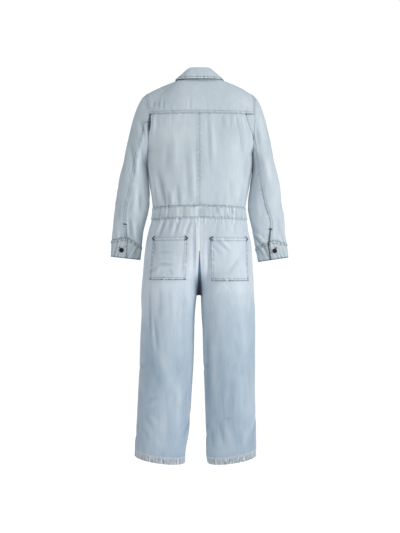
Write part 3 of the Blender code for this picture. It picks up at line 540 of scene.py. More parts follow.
# under the waistband, on the pockets, then down the legs
TROUSERS_SEEN = (
    (162, 227, 34, 4.2, -3.4, 19), (158.6, 227, 30, 4.5, 2, 17), (169.5, 225, 20, 4, -1.5, 15),
    (173.2, 227, 30, 5.5, 1.8, 16), (176.7, 226.5, 34, 4.2, -3, 16), (184.6, 228, 28, 5, 1.4, 17),
    (188.2, 227.5, 30, 4.2, -2.2, 17), (196.4, 240, 70, 3.6, 1.2, 0), (193.8, 250, 85, 5, -2, 0),
    (189.8, 256, 70, 6.5, 1.2, 0), (217, 228.5, 22, 5.5, -1.4, 8), (226, 226, 16, 5, -0.8, 0),
    (234.7, 228, 24, 6.5, -1, 0), (155, 247, 28, 6.5, -2.2, 0), (166, 251.7, 22, 4, -1.8, 88),
    (165.5, 263.8, 24, 4.8, -2.2, 92), (152, 270, 15, 4.5, -2.2, 60), (158.5, 271, 15, 4.5, 1.7, 30),
    (171, 272, 12, 4, -1.7, -20), (182, 266, 30, 3.8, -1.5, 5), (221.8, 245.3, 26, 4.2, -3, -45),
    (225, 243, 24, 4.8, 1.6, -45), (217, 250.5, 22, 5, -1.4, -42), (208.3, 260, 70, 4.2, -2.6, 0),
    (204.6, 262, 70, 5.5, 1.8, 0), (233, 266, 34, 6, -1.3, 35), (160, 303, 60, 8, -1.4, 0),
    (174, 303, 60, 10, 1.2, 0), (184, 312, 70, 9, -1, 3), (149.8, 313, 90, 5.2, -1.8, 0),
    (152.6, 322, 80, 4.8, 1.4, -2), (155.6, 334, 58, 4.8, -1.9, -7), (154.5, 372, 115, 13, -0.7, -25),
    (164, 366, 110, 13, 0.6, -24), (152, 399, 18, 5, -0.9, 80), (150, 406, 22, 6, 0.7, 70),
    (148.5, 424, 24, 6, -0.9, -35), (152.5, 421, 22, 6, 0.9, -35), (145.3, 436, 20, 6, -1.1, -30),
    (158, 445, 22, 8, 0.8, -20), (168, 425, 70, 11, -1.4, -3), (178.5, 405, 90, 10, 1.2, 2),
    (207.6, 365, 115, 6.5, -2.2, -1), (214, 372, 110, 10, 1.6, -1), (221.5, 435, 36, 5.8, -1.3, -13),
    (227.5, 434, 32, 8.5, 0.8, -13), (226.5, 419.5, 13, 3.6, -0.9, 85), (236, 347, 38, 7, -0.9, -16),
    (243, 330, 60, 10, 1, -8), (232, 395, 60, 12, -1.2, 4), (213, 441, 30, 6.5, -1.4, -5),
    (245, 440, 30, 10, 1.4, 6),
)

SLEEVES_SEEN = (
    (146.3, 106.5, 16, 4.2, -1.8, -20), (143, 129, 26, 5.2, -3, -11), (139.2, 130, 36, 6.5, 1.6, -8),
    (146.6, 121, 20, 4, -1.6, 8), (133, 160, 56, 6.2, -3, -5), (128, 158, 50, 7, 1.4, 8),
    (137.8, 162, 50, 6, 1.6, 3), (143, 157, 24, 5, -2.2, -3), (139.8, 201, 32, 5.8, -2.8, -2),
    (135.4, 200, 46, 7.2, 2.2, 4), (129.5, 206, 22, 5, -1.6, 10), (118.5, 212, 34, 7, -1.4, 8),
    (129.6, 228, 40, 5.6, -4, -4), (134.2, 230, 36, 6, 2.4, -8), (123, 236, 16, 3.6, -1.6, 6),
    (120.5, 235, 14, 4.8, -1.2, -12), (117, 233, 14, 4.8, 0.9, -10), (135.5, 250, 16, 3.6, -3, 20),
    (257.3, 137, 26, 5.5, -2.2, -7), (261, 128, 40, 8, 1.2, -8), (256.5, 150, 20, 5, 1.6, -20),
    (262.5, 172, 44, 7.5, -1.6, -10), (268, 172, 44, 8, 1, -10), (258.5, 205, 40, 7.5, 1.2, -6),
    (255, 230, 24, 6, -1.8, -28), (258.6, 241, 24, 4, -5.2, -38), (260.4, 237.2, 22, 3.4, 3.4, -48),
    (264.2, 246.5, 18, 3.4, -4, -30), (267.8, 238, 18, 3.4, -2.2, -5), (279, 224, 32, 7.5, -1.3, -6),
    (283, 236, 16, 5.5, -1.1, -12), (261.4, 252, 14, 3.2, -2.6, -35), (262.6, 249, 14, 3.2, 2.2, -35),
    (266.8, 252, 12, 3, -2, -20),
)

# the sides that the photograph doesn't show: a row has Crease's columns after its view, in millimetres
BODICE_HIDDEN = {
    View.FRONT: (
        (128, -215, 50, 8, -2.8, 38), (112, -205, 45, 8.5, 1.6, 36), (100, -255, 40, 7, -1.6, 24),
        (-134, -222, 45, 7.5, -2.6, -34), (-118, -208, 50, 8.5, 1.6, -38),
        (-90, -300, 50, 8, -1.4, -12), (60, -330, 70, 9, -1.4, 6), (120, -400, 45, 7, -3.2, 10),
        (102, -405, 40, 6.5, 2, 8), (78, -420, 30, 5.5, -2.4, 3), (50, -428, 24, 5, -1.4, 0),
        (-60, -415, 34, 6, -2.4, -4), (-92, -405, 42, 6.5, -2.8, -8), (-76, -410, 34, 5.5, 1.6, -6),
        (-125, -395, 46, 7, -2.2, -14), (120, -480, 22, 3.6, -1.2, 0), (98, -480, 22, 3.6, -1.4, 0),
        (74, -480, 20, 3.6, -1, 0), (-110, -480, 22, 3.6, -1.2, 0), (-86, -480, 22, 3.6, -1.2, 0),
        (-55, -480, 20, 3.6, -1, 0),
    ),
    View.LEFT: (
        (20, -360, 60, 8, -2.8, 6), (45, -395, 40, 7, 1.8, 8), (-30, -400, 45, 7, -2.6, -6),
    ),
    View.RIGHT: (
        (30, -390, 50, 7.5, -2.6, 5), (-15, -370, 60, 8.5, 1.6, -4), (-40, -405, 36, 6.5, -2.4, -8),
    ),
}

TROUSERS_HIDDEN = {
    View.FRONT: (
        (70, -700, 60, 7, -3, 58), (85, -722, 55, 7, 1.8, 62), (80, -745, 55, 7, -2.2, 72),
        (-65, -695, 55, 6.5, -2.6, -55), (-80, -728, 60, 7.5, -2.4, -68),
        (-78, -711, 50, 6.5, 1.6, -62), (105, -545, 34, 5, -2.6, -12), (80, -540, 28, 5, -1.8, -6),
        (-75, -540, 30, 5, -2, 8), (-108, -548, 36, 5.5, -2.4, 14), (125, -1000, 34, 9, -2.4, 78),
        (110, -1032, 30, 8, 1.8, 84), (135, -1060, 30, 8, -1.8, 100), (-105, -1010, 34, 8.5, -2.2, -80),
        (-120, -1045, 30, 8, 1.6, -86), (140, -860, 110, 11, -2.2, 5), (85, -900, 90, 10, 1.4, -4),
        (-135, -880, 110, 11, -2.4, -4), (-80, -1180, 90, 10, -2, 3), (115, -1200, 100, 11, -2.2, -3),
        (165, -1290, 40, 8, -2.2, 24), (-150, -1300, 40, 8, -2.4, -22),
    ),
    View.LEFT: (
        (10, -620, 80, 9, -2, 3), (-20, -900, 120, 10, -2.2, -3), (15, -1040, 30, 8, -2, 70),
        (0, -1290, 40, 8, -2.2, 30),
    ),
    View.RIGHT: (
        (15, -660, 80, 9, -2.2, -3), (-10, -960, 120, 10, -2.2, 4), (10, -1230, 50, 8, -2.2, -26),
    ),
}

SLEEVES_HIDDEN = {
    View.FRONT: (
        (232, -360, 40, 6.5, -3, 52), (236, -382, 36, 6, 2, 58), (240, -402, 36, 6, -2.8, 66),
        (245, -440, 34, 6, -2.4, 82), (262, -520, 40, 6.5, -2.2, 30), (215, -230, 45, 6.5, -2.6, 14),
        (-228, -352, 40, 6.5, -2.8, -50), (-232, -392, 36, 6, -3, -64), (-230, -372, 34, 6, 1.8, -58),
        (-238, -432, 34, 6, -2.2, -80), (-255, -530, 40, 6.5, -2.4, -28),
        (-212, -225, 45, 6.5, -2.4, -12),
    ),
    View.LEFT: (
        (10, -170, 60, 9, -1.8, 0), (-16, -400, 34, 7, -1.4, 40), (-14, -450, 26, 7, -1.2, -50),
        (-15, -545, 30, 6, -1.8, 12),
    ),
    View.RIGHT: (
        (-12, -180, 60, 9, -1.8, 4), (-18, -420, 34, 7, -1.4, -42), (-16, -470, 26, 6.5, -1.1, 48),
        (-10, -560, 28, 6, -1.8, -10),
    ),
}


@dataclass
class Creases:
    """All the creases of one part of the garment.

    Attributes:
        creases: the creases.
        undulation: height of the slow waves that no cloth is free of.
        ruffle: height of the finer ones.
        flank: share of a trough's depth that stands up as a low ridge beside it.
        skew: how much steeper one side of a crease is than the other.
    """

    creases: Sequence[Crease]
    undulation: float = 0.0011
    ruffle: float = 0.0004
    flank: float = 0.30
    skew: float = 0.28
    wave_scale: tuple[float, float] = (13.0, 5.0)
    ruffle_scale: tuple[float, float] = (42.0, 18.0)

    @classmethod
    def of(
        cls, seen: Iterable[Row], hidden: dict[View, Iterable[Row]], surface_y: float
    ) -> "Creases":
        """Gathers the photographed creases and the others.

        Args:
            seen: rows of creases placed by the photograph.
            hidden: rows of creases of the other sides, by view.
            surface_y: usual Y of the photographed surface.

        Returns:
            The part's creases.
        """
        creases = [Seen(*row).crease(surface_y) for row in seen]
        for view, rows in hidden.items():
            creases += [Crease(view, *(value / MM for value in row[:-1]), row[-1]) for row in rows]
        return cls(creases)

    def relief(self, points: np.ndarray, normals: np.ndarray) -> np.ndarray:
        """How far the cloth stands out or in at each point.

        Args:
            points: places on the smooth form, (n, m, 3).
            normals: outward directions there.

        Returns:
            Heights along the normals, (n, m).
        """
        height = np.zeros(points.shape[:2])
        for row in self.creases:
            facing, axis = row.view.value
            toward = np.clip(normals @ np.array(facing), 0.0, 1.0)
            lean = math.radians(row.lean)
            dx = points[..., axis] - row.across
            dz = points[..., 2] - row.z
            across = (dx * math.cos(lean) - dz * math.sin(lean)) / row.width
            along = (dx * math.sin(lean) + dz * math.cos(lean)) / row.reach
            fade = np.exp(-np.abs(along) ** 3) * np.sqrt(toward)
            skewed = across * (1.0 + self.skew * np.tanh(across))
            profile = np.exp(-np.abs(skewed) ** 1.5) - self.flank * np.exp(-((np.abs(skewed) - 2.0) ** 2))
            height += row.depth * profile * fade
        return height + self._waves(points)

    def _waves(self, points: np.ndarray) -> np.ndarray:
        """Slow and fine uneven waves, stretched along the hanging cloth.

        Args:
            points: places on the cloth.

        Returns:
            Their heights.
        """
        flat = points.reshape(-1, 3)
        total = np.zeros(len(flat))
        for height, (level, up) in ((self.undulation, self.wave_scale), (self.ruffle, self.ruffle_scale)):
            scaled = flat * np.array((level, level, up))
            total += height * np.array([noise.noise(place) for place in scaled.tolist()])
        return total.reshape(points.shape[:2])


# ---------------------------------------------------------------- the filled-out form
class Track:
    """A short table, read smoothly between its rows, column by column."""

    def __init__(self, rows: Sequence[NamedTuple]) -> None:
        """Sorts the rows by their first column.

        Args:
            rows: the table.
        """
        self.rows = sorted(rows, key=lambda row: row[0])
        self.keys = [row[0] for row in self.rows]
        self.columns: dict[str, tuple[list[float], list[float]]] = {}

    def _column(self, name: str) -> tuple[list[float], list[float]]:
        """Values of a column, and the slopes of a curve through them that never overshoots.

        Args:
            name: the column.

        Returns:
            The values and the slopes.
        """
        if name not in self.columns:
            keys = self.keys
            values = [getattr(row, name) for row in self.rows]
            steps = [
                (values[i + 1] - values[i]) / (keys[i + 1] - keys[i]) for i in range(len(keys) - 1)
            ]
            inner = [
                0.0 if a * b <= 0.0 else 2.0 * a * b / (a + b) for a, b in zip(steps, steps[1:])
            ]
            self.columns[name] = (values, [steps[0]] + inner + [steps[-1]])
        return self.columns[name]

    def at(self, key: float, name: str) -> float:
        """Reads a column.

        Args:
            key: value of the first column.
            name: the column that is read.

        Returns:
            The column's value there.
        """
        values, slopes = self._column(name)
        keys = self.keys
        key = min(max(key, keys[0]), keys[-1])
        i = min(bisect_right(keys, key) - 1, len(keys) - 2)
        span = keys[i + 1] - keys[i]
        f = (key - keys[i]) / span
        g = 1.0 - f
        return (
            values[i] * (1.0 + 2.0 * f) * g * g
            + slopes[i] * span * f * g * g
            + values[i + 1] * f * f * (3.0 - 2.0 * f)
            - slopes[i + 1] * span * f * f * g
        )

    def point(self, turn: float, side: Side) -> Vector:
        """Point of a mirrored ring at a turn, on one side."""
        return Vector((side * self.at(turn, "x"), self.at(turn, "y"), self.at(turn, "z")))


def mix(a: float, b: float, f: float) -> float:
    """The value a share f of the way from a to b."""
    return a + (b - a) * f


def halved(low: float, high: float, short: Callable[[float], bool]) -> float:
    """Looks for a place on a curve by halving.

    Args:
        low: where the stretch starts.
        high: where it ends.
        short: whether the place lies further on than a value.

    Returns:
        The place.
    """
    for _ in range(HALVINGS):
        middle = (low + high) / 2.0
        if short(middle):
            low = middle
        else:
            high = middle
    return (low + high) / 2.0


class Form:
    """The garment's filled-out form: where each cut piece of cloth lies."""

    def __init__(self) -> None:
        """Reads the tables."""
        self.torso = Track(TORSO)
        self.legs = Track(LEGS)
        self.crotch = Track(CROTCH)
        self.neckline = Track(NECKLINE)
        self.collar_fold = Track(COLLAR_FOLD)
        self.collar_edge = Track(COLLAR_EDGE)
        self.yoke_swell = Track(YOKE_SWELL)
        self.armhole = Track(ARMHOLE)
        self.arms = {side: Track(rows) for side, rows in SLEEVES.items()}
        self.cuff_tops = {side: Track(rows) for side, rows in CUFF_TOPS.items()}
        self._ends: dict[tuple[int, int, float], Vector] = {}
        self._folds: dict[tuple[int, float], float] = {}

    def armhole_point(self, side: Side, turn: float) -> Vector:
        """Point of the armhole's edge; the right one is eased outwards over the shoulder blade.

        Args:
            side: wearer's side.
            turn: 0 and 1 at the shoulder tip, 0.5 at the underarm.

        Returns:
            The middle of the cloth there.
        """
        point = self.armhole.point(turn, side)
        if side == Side.RIGHT:
            blade = math.sin(2.0 * math.pi * turn) if turn < 0.5 else 0.0
            under = math.sin(math.pi * turn) ** 4
            tip = math.cos(math.pi * turn) ** 8
            point.x -= RIGHT_BLADE_EASE * blade + RIGHT_UNDERARM_EASE * under - RIGHT_TIP_EASE * tip
        else:
            point.x += LEFT_PLEAT_EASE * math.exp(-(((turn - LEFT_PLEAT_TURN) / 0.068) ** 2))
        return point

    def armhole_at_height(self, side: Side, face: Face, z: float) -> Vector:
        """Point of the armhole's back or front edge at a height, found by halving.

        Args:
            side: wearer's side.
            face: back or front.
            z: height.

        Returns:
            The middle of the cloth there.
        """
        key = (int(side), int(face), round(z, 7))
        if key not in self._ends:
            top = ARMHOLE_YOKE_TURN if face == Face.BACK else ARMHOLE_STEP_TURN
            turn = halved(top, 0.5, lambda turn: self.armhole_point(side, turn).z > z)
            self._ends[key] = self.armhole_point(side, turn)
        return self._ends[key]

    def torso_point(self, side: Side, face: Face, s: float, z: float, proud: float = 0.0) -> Vector:
        """Point of the torso at a height.

        Args:
            side: wearer's side.
            face: back or front.
            s: 0 on the centre line, 1 at the side seam or armhole.
            z: height.
            proud: how far outside the panels it lies.

        Returns:
            The middle of the cloth there.
        """
        depth = self.torso.at(z, face.label) + proud
        if z > UNDERARM_Z:
            edge = self.armhole_at_height(side, face, z)
            end_x, end_y = abs(edge.x) + proud, abs(edge.y)
        else:
            end_x, end_y = self.torso.at(z, side.label) + proud, 0.0
        power = 2.0 / ROUNDNESS
        width = end_x / (1.0 - min(end_y / depth, 0.95) ** ROUNDNESS) ** (1.0 / ROUNDNESS)
        last = math.asin(min(1.0, (end_x / width) ** (1.0 / power)))
        x = width * math.sin(last * s) ** power
        y = depth * max(0.0, math.cos(last * s)) ** power
        return Vector((side * x, face * y, z))

    def trouser_point(self, side: Side, face: Face, s: float, z: float) -> Vector:
        """Point of the trousers.

        Args:
            side: wearer's side.
            face: back or front.
            s: 0 at the seat seam or inseam, 1 at the side seam.
            z: height, before the hem's slope.

        Returns:
            The middle of the cloth there.
        """
        outer = self.legs.at(z, "outer_" + side.label)
        inner = self.legs.at(z, "inner_" + side.label)
        depth = self.legs.at(z, face.label)
        turn = math.pi * s
        reach = THIGH_TOP_Z - FORK_Z if z > FORK_Z else FORK_Z - THIGH_END_Z
        flat = max(0.0, 1.0 - abs(z - FORK_Z) / reach)
        power = mix(1.0, THIGH_POWER, flat if s < 0.5 else 0.0)
        swing = math.copysign(abs(math.cos(turn)) ** power, 0.5 - s)
        x = (outer + inner) / 2.0 - (outer - inner) / 2.0 * swing
        if z > BRIDGE_Z and s < BRIDGE_SHARE:
            x *= math.sin(math.pi / 2.0 * s / BRIDGE_SHARE)
        leg = Vector((side * x, face * depth * max(0.0, math.sin(turn)) ** power, z))
        if z <= FORK_Z:
            down = min(1.0, max(0.0, (z - HEM_START_Z) / (HEM_Z - HEM_START_Z)))
            leg.z -= down * (HEM_TILT * math.cos(math.pi * s) + HEM_DIP * math.sin(math.pi * s))
            return leg
        turned = self.crotch.at(z, face.label)
        point = self.torso_point(side, face, s, z).lerp(leg, turned)
        point.y += face * SEAT_FILL[face] * 4.0 * turned * (1.0 - turned) * math.sin(math.pi * s)
        return point

    def yoke_point(self, turn: float, r: float) -> Vector:
        """The yoke, round the back of the neck.

        Args:
            turn: -1 to 1 between its ends.
            r: 0 at the neck, 1 at the outer edge.

        Returns:
            The middle of the cloth there.
        """
        side = Side.LEFT if turn >= 0.0 else Side.RIGHT
        a = abs(turn)
        corner = YOKE_SEAM_SHARE
        start = self.neckline.point(SHOULDER_SEAM_TURN * a, side)
        if a <= corner:
            end = self.torso_point(side, Face.BACK, a / corner, YOKE_Z)
        else:
            share = (a - corner) / (1.0 - corner)
            over = mix(ARMHOLE_YOKE_TURN, ARMHOLE_SHOULDER_TURN - 1.0, share)
            end = self.armhole_point(side, over if over >= 0.0 else over + 1.0)
        ray = end - start
        away = (start + end) / 2.0 - YOKE_SWELL_FROM
        away -= ray * (away.dot(ray) / ray.length_squared)
        away.normalize()
        swell = self.yoke_swell.at(a, "height")
        return start + ray * r + away * swell * math.sin(math.pi * r)

    def front_upper_point(self, side: Side, s: float, t: float) -> Vector:
        """Front panel above its level rows, blended between its four edges.

        Args:
            side: wearer's side.
            s: 0 on the centre line, 1 at the armhole.
            t: 0 at the level rows, 1 at the top.

        Returns:
            The middle of the cloth there.
        """
        corner = FRONT_NECK_SHARE
        bottom = self.torso_point(side, Face.FRONT, s, NECK_STEP_Z)
        if s < corner:
            top = self.neckline.point(mix(1.0, SHOULDER_SEAM_TURN, s / corner), side)
        else:
            top = self.yoke_point(float(side), (s - corner) / (1.0 - corner))
        centre_low = self.torso_point(side, Face.FRONT, 0.0, NECK_STEP_Z)
        centre_top = self.neckline.point(1.0, side)
        centre = centre_low.lerp(centre_top, t)
        edge = self.armhole_point(side, mix(ARMHOLE_STEP_TURN, ARMHOLE_SHOULDER_TURN, t))
        edge_low = self.armhole_point(side, ARMHOLE_STEP_TURN)
        edge_top = self.armhole_point(side, ARMHOLE_SHOULDER_TURN)
        ruled = bottom.lerp(top, t) + centre.lerp(edge, s)
        corners = centre_low.lerp(centre_top, t).lerp(edge_low.lerp(edge_top, t), s)
        return ruled - corners + CHEST_SWELL * math.sin(math.pi * t) * math.sin(math.pi * s)

    def collar_point(self, turn: float, r: float) -> Vector:
        """The collar, over its fold.

        Args:
            turn: -1 to 1 between its ends.
            r: 0 at the neck seam, 0.5 on the fold, 1 at the outer edge.

        Returns:
            The middle of the cloth there.
        """
        side = Side.LEFT if turn >= 0.0 else Side.RIGHT
        a = abs(turn)
        seam = self.neckline.point(a, side)
        fold = self.collar_fold.point(a, side)
        edge = self.collar_edge.point(a, side)
        ahead, behind = min(a + 0.02, 1.0), max(a - 0.02, 0.0)
        along = self.collar_fold.point(ahead, side) - self.collar_fold.point(behind, side)
        along.normalize()
        climb = (fold - seam) - along * (fold - seam).dot(along)
        fall = (edge - fold) - along * (edge - fold).dot(along)
        seam += climb.normalized() * (LAID_ON + COLLAR_SEAM_EASE * a)
        rise = (climb.normalized() - fall.normalized()).normalized()
        out = along.cross(rise).normalized()
        if out.dot(edge - seam) < 0.0:
            out.negate()
        if r <= COLLAR_FOLD_START:
            return seam.lerp(fold - out * COLLAR_FOLD_RADIUS, r / COLLAR_FOLD_START)
        if r >= COLLAR_FOLD_END:
            f = (r - COLLAR_FOLD_END) / (1.0 - COLLAR_FOLD_END)
            fallen = (fold + out * COLLAR_FOLD_RADIUS).lerp(edge, f)
            return fallen + out * COLLAR_ROLL * math.sin(math.pi * f)
        bend = math.pi * (r - COLLAR_FOLD_START) / (COLLAR_FOLD_END - COLLAR_FOLD_START)
        return fold + (rise * math.sin(bend) - out * math.cos(bend)) * COLLAR_FOLD_RADIUS

    def sleeve_ring(self, side: Side, degrees: float, z: float) -> Vector:
        """Point round the arm.

        Args:
            side: wearer's side.
            degrees: 0 outer side, 90 back, 180 beside the body, 270 front.
            z: level along the arm.

        Returns:
            The middle of the cloth there.
        """
        arm = self.arms[side]
        angle = math.radians(degrees)
        lean = math.radians(arm.at(z, "lean"))
        across = arm.at(z, "half_width") * math.cos(angle)
        x = side * (arm.at(z, "centre") + across * math.cos(lean))
        y = arm.at(z, "forward") + arm.at(z, "half_depth") * math.sin(angle)
        return Vector((x, y, z + across * math.sin(lean)))

    def cuff_rise(self, side: Side, degrees: float) -> float:
        """How far the cuff's top edge stands above its level at an angle."""
        return self.cuff_tops[side].at(degrees % 360.0, "rise")

    def sleeve_point(self, side: Side, degrees: float, t: float) -> Vector:
        """Point of the sleeve.

        Args:
            side: wearer's side.
            degrees: round the arm, as in sleeve_ring.
            t: 0 at the armhole, CAP_SHARE below the cap, 1 at the cuff.

        Returns:
            The middle of the cloth there.
        """
        rows = SLEEVES[side]
        first_z, cuff_z = rows[0].z, rows[-2].z
        if t >= CAP_SHARE:
            z = mix(first_z, cuff_z, (t - CAP_SHARE) / (1.0 - CAP_SHARE))
            point = self.sleeve_ring(side, degrees, z)
            near = max(0.0, 1.0 - (z - cuff_z) / CUFF_TOP_REACH)
            point.z += self.cuff_rise(side, degrees) * near * near
            return point
        turn = (degrees / 360.0) % 1.0
        under = (1.0 - math.cos(2.0 * math.pi * turn)) / 2.0
        start = self.armhole_point(side, turn)
        end = self.sleeve_ring(side, degrees, first_z)
        lean = math.radians(rows[0].lean)
        down = Vector((side * math.sin(lean), 0.0, -math.cos(lean)))
        out = side * mix(CAP_TOP_OUT, CAP_UNDERARM_OUT, under)
        leave = Vector((out, CAP_ROUND * math.sin(2.0 * math.pi * turn), -mix(CAP_TOP_DOWN, 1.0, under)))
        leave.normalize()
        f = t / CAP_SHARE
        reach = (end - start).length * CAP_ARM_REACH * mix(1.0, CAP_ARM_EASE, under)
        first = start + leave * mix(CAP_TOP_REACH, CAP_UNDERARM_REACH, under)
        second = end - down * reach
        point = (
            start * (1.0 - f) ** 3
            + first * 3.0 * f * (1.0 - f) ** 2
            + second * 3.0 * f * f * (1.0 - f)
            + end * f ** 3
        )
        if side == Side.LEFT and turn < 0.5:
            near = math.exp(-(((point.z - LENS_Z) / LENS_REACH) ** 2))
            point.x += LENS_PUSH * near * min(1.0, 12.0 * f) * (1.0 - f) ** 2 * math.sin(2.0 * math.pi * turn)
        return point

    def back_fold_s(self, side: Side, z: float) -> float:
        """Where the back panel's edge lies at a height: on the pleat's fold, or at the side.

        Args:
            side: wearer's side.
            z: height.

        Returns:
            The share of the half section.
        """
        pleat = PLEATS[side]
        if z <= pleat.end_z:
            return 1.0
        key = (int(side), round(z, 7))
        if key not in self._folds:
            fold = halved(
                0.5, 1.0, lambda s: abs(self.torso_point(side, Face.BACK, s, z).x) < pleat.fold_x
            )
            share = min(1.0, (z - pleat.end_z) / (YOKE_Z - pleat.end_z) * pleat.opening)
            share = share * share * (3.0 - 2.0 * share)
            self._folds[key] = mix(1.0, fold, share)
        return self._folds[key]


# ---------------------------------------------------------------- finishes
class Net:
    """A material's node net, written one node at a time."""

    def __init__(self, name: str) -> None:
        """Starts an empty material.

        Args:
            name: the material's name.
        """
        self.material = bpy.data.materials.new(name)
        self.material.use_nodes = True
        self.tree = self.material.node_tree
        self.shader = self.tree.nodes["Principled BSDF"]

    def node(
        self, kind: str, inputs: dict[str | int, object] | None = None, **settings: object
    ) -> bpy.types.Node:
        """Adds a node.

        Args:
            kind: Blender's node type.
            inputs: socket name or number to a value, or to another node's output.
            settings: the node's own settings.

        Returns:
            The node.
        """
        made = self.tree.nodes.new(kind)
        for key, value in settings.items():
            setattr(made, key, value)
        self.set(made, inputs or {})
        return made

    def set(self, node: bpy.types.Node, inputs: dict[str | int, object]) -> None:
        """Gives a node's sockets their values, or links outputs to them.

        Args:
            node: the node.
            inputs: socket name or number to a value, or to another node's output.
        """
        for key, value in inputs.items():
            if isinstance(value, bpy.types.NodeSocket):
                self.tree.links.new(value, node.inputs[key])
            else:
                node.inputs[key].default_value = value

    def maths(self, operation: str, *values: object, **settings: object) -> bpy.types.NodeSocket:
        """Output of a Math node."""
        made = self.node("ShaderNodeMath", dict(enumerate(values)), operation=operation, **settings)
        return made.outputs[0]

    def place(self) -> bpy.types.NodeSocket:
        """The place on the finished piece."""
        return self.node("ShaderNodeTexCoord").outputs["Object"]

    def mark(self, name: str) -> bpy.types.NodeSocket:
        """A value that the cloth's points carry."""
        return self.node("ShaderNodeAttribute", attribute_name=name).outputs["Fac"]

    def stretched(self, vector: bpy.types.NodeSocket, scale: Colour) -> bpy.types.NodeSocket:
        """Coordinates scaled along each axis."""
        return self.node("ShaderNodeMapping", {"Vector": vector, "Scale": scale}).outputs["Vector"]

    def noise(
        self, vector: bpy.types.NodeSocket, scale: float, detail: float, roughness: float = 0.5,
        **settings: object,
    ) -> bpy.types.NodeSocket:
        """Adds a cloudy pattern.

        Args:
            vector: its coordinates.
            scale: how fine it is.
            detail: how many finer layers it has.
            roughness: how strong those are.
            settings: the node's own settings.

        Returns:
            The pattern, from 0 to 1.
        """
        inputs = {"Vector": vector, "Scale": scale, "Detail": detail, "Roughness": roughness}
        return self.node("ShaderNodeTexNoise", inputs, **settings).outputs["Fac"]

    def bump(
        self, strength: float, depth: float, height: bpy.types.NodeSocket,
        below: bpy.types.NodeSocket | None = None,
    ) -> bpy.types.NodeSocket:
        """Adds a relief to the surface.

        Args:
            strength: how much of it shows.
            depth: in metres.
            height: its pattern.
            below: the relief that it lies on.

        Returns:
            The surface's direction.
        """
        inputs = {"Strength": strength, "Distance": depth, "Height": height}
        if below:
            inputs["Normal"] = below
        return self.node("ShaderNodeBump", inputs).outputs["Normal"]

    def ramp(
        self, factor: bpy.types.NodeSocket, low: tuple[float, Colour], high: tuple[float, Colour]
    ) -> bpy.types.NodeSocket:
        """Turns a pattern into a colour.

        Args:
            factor: the pattern.
            low: the value up to which the first colour reaches, and that colour.
            high: the value from which the second colour starts, and that colour.

        Returns:
            The colour.
        """
        made = self.node("ShaderNodeValToRGB", {"Fac": factor})
        for stop, (position, colour) in zip(made.color_ramp.elements, (low, high)):
            stop.position = position
            stop.color = (*colour, 1.0)
        return made.outputs["Color"]

    def finish(self, inputs: dict[str | int, object]) -> bpy.types.Material:
        """Gives the shader its inputs, and hands over the material."""
        self.set(self.shader, inputs)
        return self.material


@dataclass(frozen=True)
class Denim:
    """Light washed denim: twill, slubs, cloudy fading, rubbed ridges and seams, and painted shade in troughs
    and deep folds.

    Attributes:
        name: the material's name.
        light: colour of the palest, most rubbed ridges.
        dark: colour of troughs, where the dye is left and shade is painted.
        cloud: share of the slow fading in the colour.
        wear_and_shade: share of the rubbed ridges and of the troughs painted in shade.
        shade: how dark the painted shade of the deepest folds and gaps is, where the wear_and_shade mark is
            below 0.
        greyed: share of the blue that is rubbed away along seams and hems.
        twill_pitch: between two ribs of the weave, in metres.
    """

    name: str
    light: Colour
    dark: Colour
    cloud: float = 0.26
    mottle: float = 0.24
    slub: float = 0.20
    twill: float = 0.10
    wear_and_shade: float = 1.00
    twill_pitch: float = 0.0013
    twill_depth: float = 0.00010
    crumple_depth: float = 0.00055
    wrinkle_depth: float = 0.0011
    shade: float = 0.95
    greyed: float = 0.58

    def build(self) -> bpy.types.Material:
        """Makes the material.

        Returns:
            The denim, for a piece with the map "cloth" and the marks "wear_and_shade" and "rubbed".
        """
        net = Net(self.name)
        place = net.place()
        uv = net.node("ShaderNodeUVMap", uv_map="cloth").outputs["UV"]
        # the wear_and_shade mark: ridges and folded edges rubbed paler, and shade painted in troughs,
        # furrows, under edges, in the pleats, the vents and the fork
        wear_and_shade = net.mark("wear_and_shade")
        cloud = net.noise(place, 6.0, 3.0, 0.6)
        mottle = net.noise(net.stretched(place, (120.0, 120.0, 11.0)), 1.0, 4.0, 0.65)
        slub = net.noise(net.stretched(uv, (900.0, 26.0, 1.0)), 1.0, 2.0)
        twill = net.node("ShaderNodeTexWave", {
            "Vector": uv, "Scale": math.tau / (10.0 * self.twill_pitch), "Distortion": 0.0,
        }, bands_direction="DIAGONAL").outputs["Fac"]
        tone = 0.5
        for pattern, share in (
            (wear_and_shade, self.wear_and_shade), (cloud, self.cloud), (mottle, self.mottle), (slub, self.slub),
            (twill, self.twill),
        ):
            centred = net.maths("SUBTRACT", pattern, 0.5)
            tone = net.maths("ADD", net.maths("MULTIPLY", centred, share), tone)
        colour = net.node("ShaderNodeMix", {
            "Factor": tone, "A": (*self.dark, 1.0), "B": (*self.light, 1.0),
        }, data_type="RGBA", clamp_factor=True).outputs["Result"]
        hang = net.stretched(place, (30.0, 30.0, 11.0))
        wrinkle = net.noise(hang, 1.0, 3.0, noise_type="RIDGED_MULTIFRACTAL")
        broad = net.bump(0.35, self.wrinkle_depth, wrinkle)
        soft = net.bump(0.55, self.crumple_depth, net.noise(place, 150.0, 3.0, 0.55), broad)
        ribs = net.bump(0.6, self.twill_depth, net.maths("ADD", twill, slub), soft)
        blue = net.maths("SUBTRACT", 1.0, net.maths("MULTIPLY", net.mark("rubbed"), self.greyed))
        faded = net.node("ShaderNodeHueSaturation", {"Saturation": blue, "Color": colour})
        # painted shade: where the mark is below 0, the colour is darkened further
        deep = net.maths("ADD", net.maths("MULTIPLY", wear_and_shade, self.shade), 1.0, use_clamp=True)
        shaded = net.node("ShaderNodeVectorMath", {
            "Vector": faded.outputs["Color"], "Scale": deep,
        }, operation="SCALE")
        return net.finish({
            "Base Color": shaded.outputs["Vector"], "Normal": ribs,
            "Roughness": net.maths("ADD", net.maths("MULTIPLY", mottle, 0.12), 0.80),
            "Specular IOR Level": 0.22, "Sheen Weight": 0.18, "Sheen Roughness": 0.45,
        })


